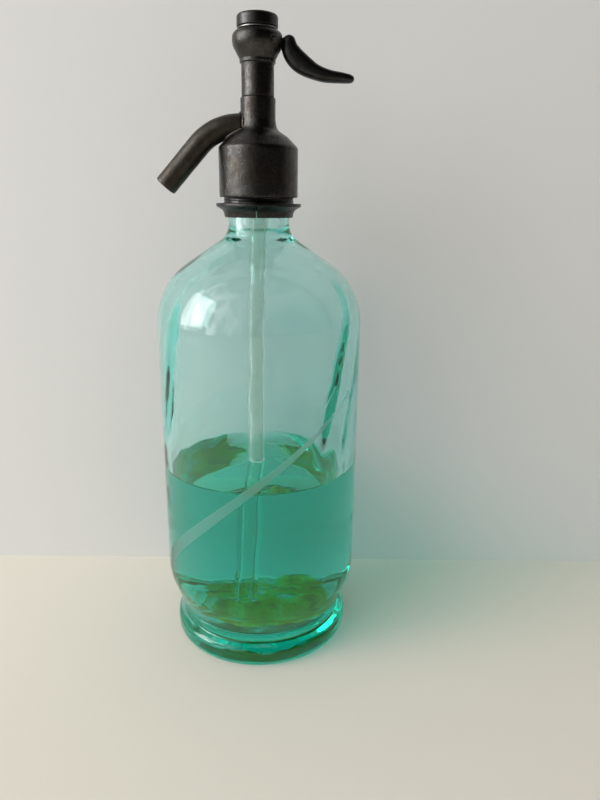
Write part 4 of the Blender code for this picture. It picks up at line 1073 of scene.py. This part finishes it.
# %% Make the column and ball
BALL_RADIUS = 11.3
BALL_TOP_Z = corners_mm("lever_housing")[1].z
HOUSING_FOOT_Z = COLUMN_TOP_Z + 0.3
NECKLACE_Z = HOUSING_FOOT_Z + 13.8
PLUG_Z = HOUSING_FOOT_Z - 5
PACKING_Z = HOUSING_FOOT_Z + 3.5
CAP_SEAT_Z = BALL_TOP_Z - 2
HOUSING_LINE = [
    (2.8, PLUG_Z, 0), (6.6, PLUG_Z, 0.3), (6.6, HOUSING_FOOT_Z, 0), (7.4, HOUSING_FOOT_Z, 0.25),
    (7.4, NECKLACE_Z, 0.15), (8.1, NECKLACE_Z, 0.35), (8.1, NECKLACE_Z + 1.6, 0.9),
    (BALL_RADIUS, NECKLACE_Z + 7.3, 7), (BALL_RADIUS, BALL_TOP_Z, 3), (7.7, BALL_TOP_Z, 0),
    (7.7, CAP_SEAT_Z, 0), (5.0, CAP_SEAT_Z, 0), (5.0, PACKING_Z, 0), (2.8, PACKING_Z, 0),
]
PIVOT = Vector((7.6, 0, 293.65))
PIN_RADIUS = 1.5
SLOT_HALF = 1.9
SLOT_BELOW, SLOT_ABOVE = 4.1, 3.3


def pin_hole(half_length):
    return skinned([ring_round((PIVOT.x, y, PIVOT.z), Y_AXIS, PIN_RADIUS, 32, X_AXIS)
                    for y in (-half_length, half_length)])


def make_housing():
    cast = spun(divided(rounded(HOUSING_LINE), 1.0), HEAD_SIDES, dented)
    housing = make_piece("column_and_ball", cast, PEWTER, "lever_housing", 40)
    low, high = PIVOT.z - SLOT_BELOW, PIVOT.z + SLOT_ABOVE
    mouth = ((-SLOT_HALF, low), (SLOT_HALF, low), (SLOT_HALF, high), (-SLOT_HALF, high))
    carve(housing, skinned([[(x, y, z) for y, z in mouth] for x in (0, BALL_RADIUS + 2)]))
    carve(housing, pin_hole(BALL_RADIUS + 1))


make_housing()

# %% [markdown]
# ## Cap and ring
# The screwed cap closes the spring's chamber. It is nearly black, slightly domed, with a thin bright ring
# trapped under it where the metal is rubbed each time that it is opened.

# %% Make the cap and its ring
CAP_Z = BALL_TOP_Z + 1.2
CAP_FOOT_Z = BALL_TOP_Z - 1.7
CAP_TOP_Z = corners_mm("cap")[1].z
CAP_CEILING_Z = CAP_TOP_Z - 1.6
CAP_RADIUS = 9.2
CAP_LINE = [
    (0, CAP_CEILING_Z, 0), (5.2, CAP_CEILING_Z, 0), (5.2, CAP_FOOT_Z, 0), (7.4, CAP_FOOT_Z, 0),
    (7.4, CAP_Z, 0), (CAP_RADIUS, CAP_Z, 0.25), (CAP_RADIUS, CAP_TOP_Z - 0.5, 1.3), (0, CAP_TOP_Z, 0),
]
RING_LOW, RING_HIGH = (corner.z for corner in corners_mm("cap_ring"))
RING_LINE = [(7.7, RING_LOW, 0), (8.9, RING_LOW, 0.2), (8.9, RING_HIGH, 0.2), (7.7, RING_HIGH, 0)]

cap = spun(divided(rounded(CAP_LINE), 0.8), HEAD_SIDES, dented)
make_piece("screw_cap", cap, DARK_PEWTER, "cap", 40)
ring = spun(rounded(RING_LINE), HEAD_SIDES)
make_piece("bright_ring", ring, BRIGHT_PEWTER, "cap_ring")

# %% [markdown]
# ## The thumb lever
# The lever is a casting shaped like a tusk: a flat tongue goes through the ball's slot to the valve stem,
# and outside it swells into a horn for the thumb, with a shallow channel along each side. It is lofted
# through listed sections, joined to the tongue, remeshed and smoothed so that the two run into each
# other as cast metal does.

# %% Draw the horn's sections
HORN_ROOT = Vector((14.0, 0, 294.35))
HORN_REACH = 29.4
HORN_DROP = 14.9
HORN_DEPTH = 4.4
HORN_WIDTH = 4.2
HORN_CHANNEL = 0.16
HORN_SIDES = 40
HORN_SHARES = (
    (0.000, 0.000, 0.68, 0.68), (0.017, 0.181, 0.87, 0.80), (0.071, 0.362, 0.97, 0.90),
    (0.160, 0.530, 1.00, 0.96), (0.276, 0.678, 0.91, 1.00), (0.401, 0.799, 0.76, 1.00),
    (0.541, 0.886, 0.67, 1.00), (0.658, 0.926, 0.59, 0.98), (0.770, 0.946, 0.54, 0.94),
    (0.864, 0.966, 0.48, 0.87), (0.942, 0.983, 0.40, 0.72), (0.985, 0.996, 0.25, 0.45),
    (1.000, 1.000, 0.02, 0.03),
)
ROOT_SHARE = HORN_SHARES[0][2]
THINNEST_HORN = 0.15
HORN_ROOT_HEADING = Vector((math.cos(math.radians(60)), 0, -math.sin(math.radians(60))))


def between(shares, at):
    """A smooth curve through the rows of shares, read at a place counted in rows."""
    row = min(int(at), len(shares) - 2)
    part = at - row
    picks = [shares[min(max(row + k, 0), len(shares) - 1)] for k in (-1, 0, 1, 2)]
    return [b + 0.5 * part * (c - a + part * (2 * a - 5 * b + 4 * c - d + part * (3 * (b - c) + d - a)))
            for a, b, c, d in zip(*picks)]


def horn_ring(centre, along, depth, width):
    up = Y_AXIS.cross(along).normalized()
    up = up if up.z > 0 else -up
    ring = []
    for side in range(HORN_SIDES):
        turned = math.tau * side / HORN_SIDES
        across = width * math.cos(turned) * (1 - HORN_CHANNEL * math.cos(turned) ** 4)
        ring.append(centre + Y_AXIS * across + up * depth * math.sin(turned))
    return ring


def horn_rings():
    """The horn from its round root, which starts in one point, to its tip."""
    rows = [between(HORN_SHARES, i / 5) for i in range(5 * (len(HORN_SHARES) - 1) + 1)]
    spots = [HORN_ROOT + Vector((HORN_REACH * row[0], 0, -HORN_DROP * row[1])) for row in rows]
    ways = [HORN_ROOT_HEADING] + headings(spots)[1:]
    rings = [[HORN_ROOT - ways[0] * HORN_DEPTH * ROOT_SHARE]]
    for step in range(1, 6):
        turned = math.pi / 2 * (1 - step / 6)
        centre = HORN_ROOT - ways[0] * HORN_DEPTH * ROOT_SHARE * math.sin(turned)
        share = ROOT_SHARE * math.cos(turned)
        rings.append(horn_ring(centre, ways[0], HORN_DEPTH * share, HORN_WIDTH * share))
    for spot, way, row in zip(spots, ways, rows):
        rings.append(horn_ring(spot, way, max(THINNEST_HORN, HORN_DEPTH * row[2]),
                               max(THINNEST_HORN, HORN_WIDTH * row[3])))
    return rings


# %% Make the lever
LEVER_VOXEL = 0.28
TONGUE_NOSE = 1.8
TONGUE_EYE = 2.8
TONGUE_HALF_HEIGHT = 2.3
TONGUE_HALF_WIDTH = 1.5
EYE_ARC = (2.814, 0.964)


def arc_points(centre, radius, start, stop, steps):
    turns = [start + (stop - start) * step / steps for step in range(steps + 1)]
    return [(centre + radius * math.cos(t), radius * math.sin(t)) for t in turns]


def make_lever():
    lever = make_piece("thumb_lever", skinned(horn_rings()), DARK_PEWTER, "lever",
                       body="lever")
    upper = arc_points(0, TONGUE_NOSE, math.pi, math.pi / 6, 8)
    upper += arc_points(PIVOT.x, TONGUE_EYE, *EYE_ARC, 10)
    upper.append((HORN_ROOT.x + 1.0, TONGUE_HALF_HEIGHT))
    tongue = upper + [(x, -z) for x, z in upper[:0:-1]]
    carve(lever, skinned([[(x, y, PIVOT.z + z) for x, z in tongue]
                          for y in (-TONGUE_HALF_WIDTH, TONGUE_HALF_WIDTH)]), "UNION")
    carve(lever, pin_hole(2 * TONGUE_HALF_WIDTH))
    remesh = lever.modifiers.new("remesh", "REMESH")
    remesh.mode = "VOXEL"
    remesh.voxel_size = LEVER_VOXEL * MM
    relax = lever.modifiers.new("relax", "SMOOTH")
    relax.factor = 0.5
    relax.iterations = 5
    apply_modifiers(lever)
    lever.data.shade_smooth()


make_lever()

# %% [markdown]
# ## The return spring
# A coil of steel wire under the cap presses the stem down. When the lever lifts the stem it shortens.

# %% Make the spring
SPRING_LOW, SPRING_HIGH = (corner.z for corner in corners_mm("return_spring"))
SPRING_RADIUS = 3.9
WIRE_RADIUS = 0.4
WIRE_SIDES = 14
SPRING_TURNS = 3.5
STEPS_A_TURN = 28


def make_spring():
    height = SPRING_HIGH - SPRING_LOW
    rise = height - 2 * WIRE_RADIUS
    pitch = rise / (math.tau * SPRING_TURNS * SPRING_RADIUS)
    count = round(SPRING_TURNS * STEPS_A_TURN)
    rings = []
    for step in range(count + 1):
        angle = math.tau * SPRING_TURNS * step / count
        outward = Vector((math.cos(angle), math.sin(angle), 0))
        along = Vector((-math.sin(angle), math.cos(angle), pitch))
        centre = outward * SPRING_RADIUS + Vector((0, 0, SPRING_LOW + WIRE_RADIUS + rise * step / count))
        rings.append(ring_round(centre, along, WIRE_RADIUS, WIRE_SIDES, outward))
    spring = make_piece("spring_coil", skinned(rings), WIRE, "return_spring", 60)
    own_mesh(spring)


make_spring()

# %% [markdown]
# ## Pieces that keep the model's shape
# The inner pieces are simple turned parts, and their shapes in the model are right, so they only get
# their finishes.

# %% Dress the pieces that stay
KEPT = {
    "dip_tube_washer": RUBBER, "neck_gasket": RUBBER, "valve_pad": RUBBER, "valve_seat": BRASS,
    "valve_cup": BRASS, "valve_screw": BRASS, "valve_stem": BRASS, "packing_nut": BRASS,
    "packing_washer": LEATHER, "lever_pin": STEEL,
}
for name, finish in KEPT.items():
    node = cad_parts[name]
    node.data.materials.clear()
    node.data.materials.append(finish)
print("dressed as they are:", len(KEPT))

# %% [markdown]
# ## Floor, wall and light
# The bottle stands close to a pale wall, on a pale floor. Both are plain. The wall shows only its front,
# so that the siphon can also be looked at from behind.

# %% Build the floor and the wall
WALL_Y = 62.0
STAGE_HALF = 2500.0
WALL_HEIGHT = 2200.0
FLOOR_GAP = -0.1


def make_stage(name, corners, colour, one_sided=False):
    finish, tree, shader, output, _ = new_finish(name)
    fill(shader, {"Base Color": colour, "Roughness": 0.7, "Specular IOR Level": 0.2})
    if one_sided:
        back = add(tree, "NewGeometry").outputs["Backfacing"]
        clear = add(tree, "BsdfTransparent")
        fill(output, {"Surface": add(tree, "MixShader", {0: back, 1: shader, 2: clear})})
    mesh = bpy.data.meshes.new(name)
    mesh.from_pydata([Vector(corner) * MM for corner in corners], [], [(0, 1, 2, 3)])
    mesh.materials.append(finish)
    thing = bpy.data.objects.new(name, mesh)
    bpy.context.scene.collection.objects.link(thing)


make_stage("floor", [(x * STAGE_HALF, y * STAGE_HALF, FLOOR_GAP)
                     for x, y in ((-1, -1), (1, -1), (1, 1), (-1, 1))], "#e0dacd")
make_stage("wall", [(x * STAGE_HALF, WALL_Y, z)
                    for x, z in ((-1, FLOOR_GAP), (1, FLOOR_GAP), (1, WALL_HEIGHT), (-1, WALL_HEIGHT))],
           "#dedddb", True)

# %% [markdown]
# The light comes from the left, as in the photograph: one window, and beyond it a bright room. A narrow
# spread keeps each lamp's light on the siphon, so that it doesn't burn out the wall beside the lamp. The
# photograph shows only the window in the glass, so the room's lamp isn't mirrored.

# %% Hang the lights
AIM = Vector((0, 0, 0.17))
LAMP_SPREAD = math.radians(80)


def make_lamp(name, place_mm, size_mm, watts, mirrored):
    lamp = bpy.data.lights.new(name, "AREA")
    lamp.shape = "RECTANGLE"
    lamp.size, lamp.size_y = (side * MM for side in size_mm)
    lamp.energy = watts
    lamp.spread = LAMP_SPREAD
    thing = bpy.data.objects.new(name, lamp)
    bpy.context.scene.collection.objects.link(thing)
    thing.location = Vector(place_mm) * MM
    thing.rotation_euler = (AIM - thing.location).to_track_quat("-Z", "Y").to_euler()
    thing.visible_glossy = mirrored
    thing.visible_transmission = mirrored
    print(name, watts, "W")


make_lamp("window", (-1150, -330, 620), (760, 860), 2.6, True)
make_lamp("bright_room", (-1500, -1050, 1250), (1500, 1500), 5.2, False)

# %% [markdown]
# The world is what every ray meets that leaves the scene. The camera, and glass, see it pale, and diffuse
# surfaces get an even fill from it. Metal and the gloss on the glass mirror a room: pale behind, dim in
# front, and at the left bright through the soft folds of a curtain, which the noise draws.

# %% Light the world
WORLD_COLOUR = "#fafaf9"
SEEN_STRENGTH = 0.80
FILL_STRENGTH = 0.42
CURTAIN_SCALE = (7.0, 7.0, 2.2)


def make_world():
    world = bpy.data.worlds.new("studio")
    world.use_nodes = True
    bpy.context.scene.world = world
    tree = world.node_tree
    rays = add(tree, "LightPath").outputs
    around = add(tree, "TexCoord").outputs["Generated"]
    way = add(tree, "SeparateXYZ", {0: around}).outputs
    behind = add(tree, "MapRange", {"Value": way["Y"], "From Min": 0.1, "From Max": 0.7,
                                    "To Min": 0.012, "To Max": 0.5})
    left = add(tree, "MapRange", {"Value": way["X"], "From Min": -0.25, "From Max": -0.85, "To Max": 3.6})
    tall = add(tree, "VectorMath", {0: around, 1: CURTAIN_SCALE}, operation="MULTIPLY")
    cloth = add(tree, "TexNoise", {"Vector": tall, "Scale": 1.0, "Detail": 2.0})
    curtain = add(tree, "MapRange", {"Value": cloth, "From Min": 0.42, "From Max": 0.62,
                                     "To Min": 0.15, "To Max": 1.5})
    left = add(tree, "Math", {0: left, 1: curtain}, operation="MULTIPLY")
    room = add(tree, "Math", {0: behind, 1: left}, operation="MAXIMUM")
    glossy = add(tree, "Mix", {0: rays["Is Glossy Ray"], 2: FILL_STRENGTH, 3: room})
    seen = add(tree, "Math", {0: rays["Is Camera Ray"], 1: rays["Is Transmission Ray"]},
               operation="MAXIMUM")
    strength = add(tree, "Mix", {0: seen, 2: glossy, 3: SEEN_STRENGTH})
    fill(tree.nodes["Background"], {"Strength": strength, "Color": WORLD_COLOUR})


make_world()

# %% [markdown]
# Light in a thick bottle bounces many times before it leaves. Where it is cut off too early, black
# streaks show in the glass, so the limits are raised.

# %% Set the view and the bounces
bpy.context.scene.view_settings.view_transform = "Standard"
cycles = bpy.context.scene.cycles
cycles.max_bounces = 48
cycles.transmission_bounces = 32
cycles.glossy_bounces = 40
cycles.transparent_max_bounces = 16
print("bounces:", cycles.max_bounces)
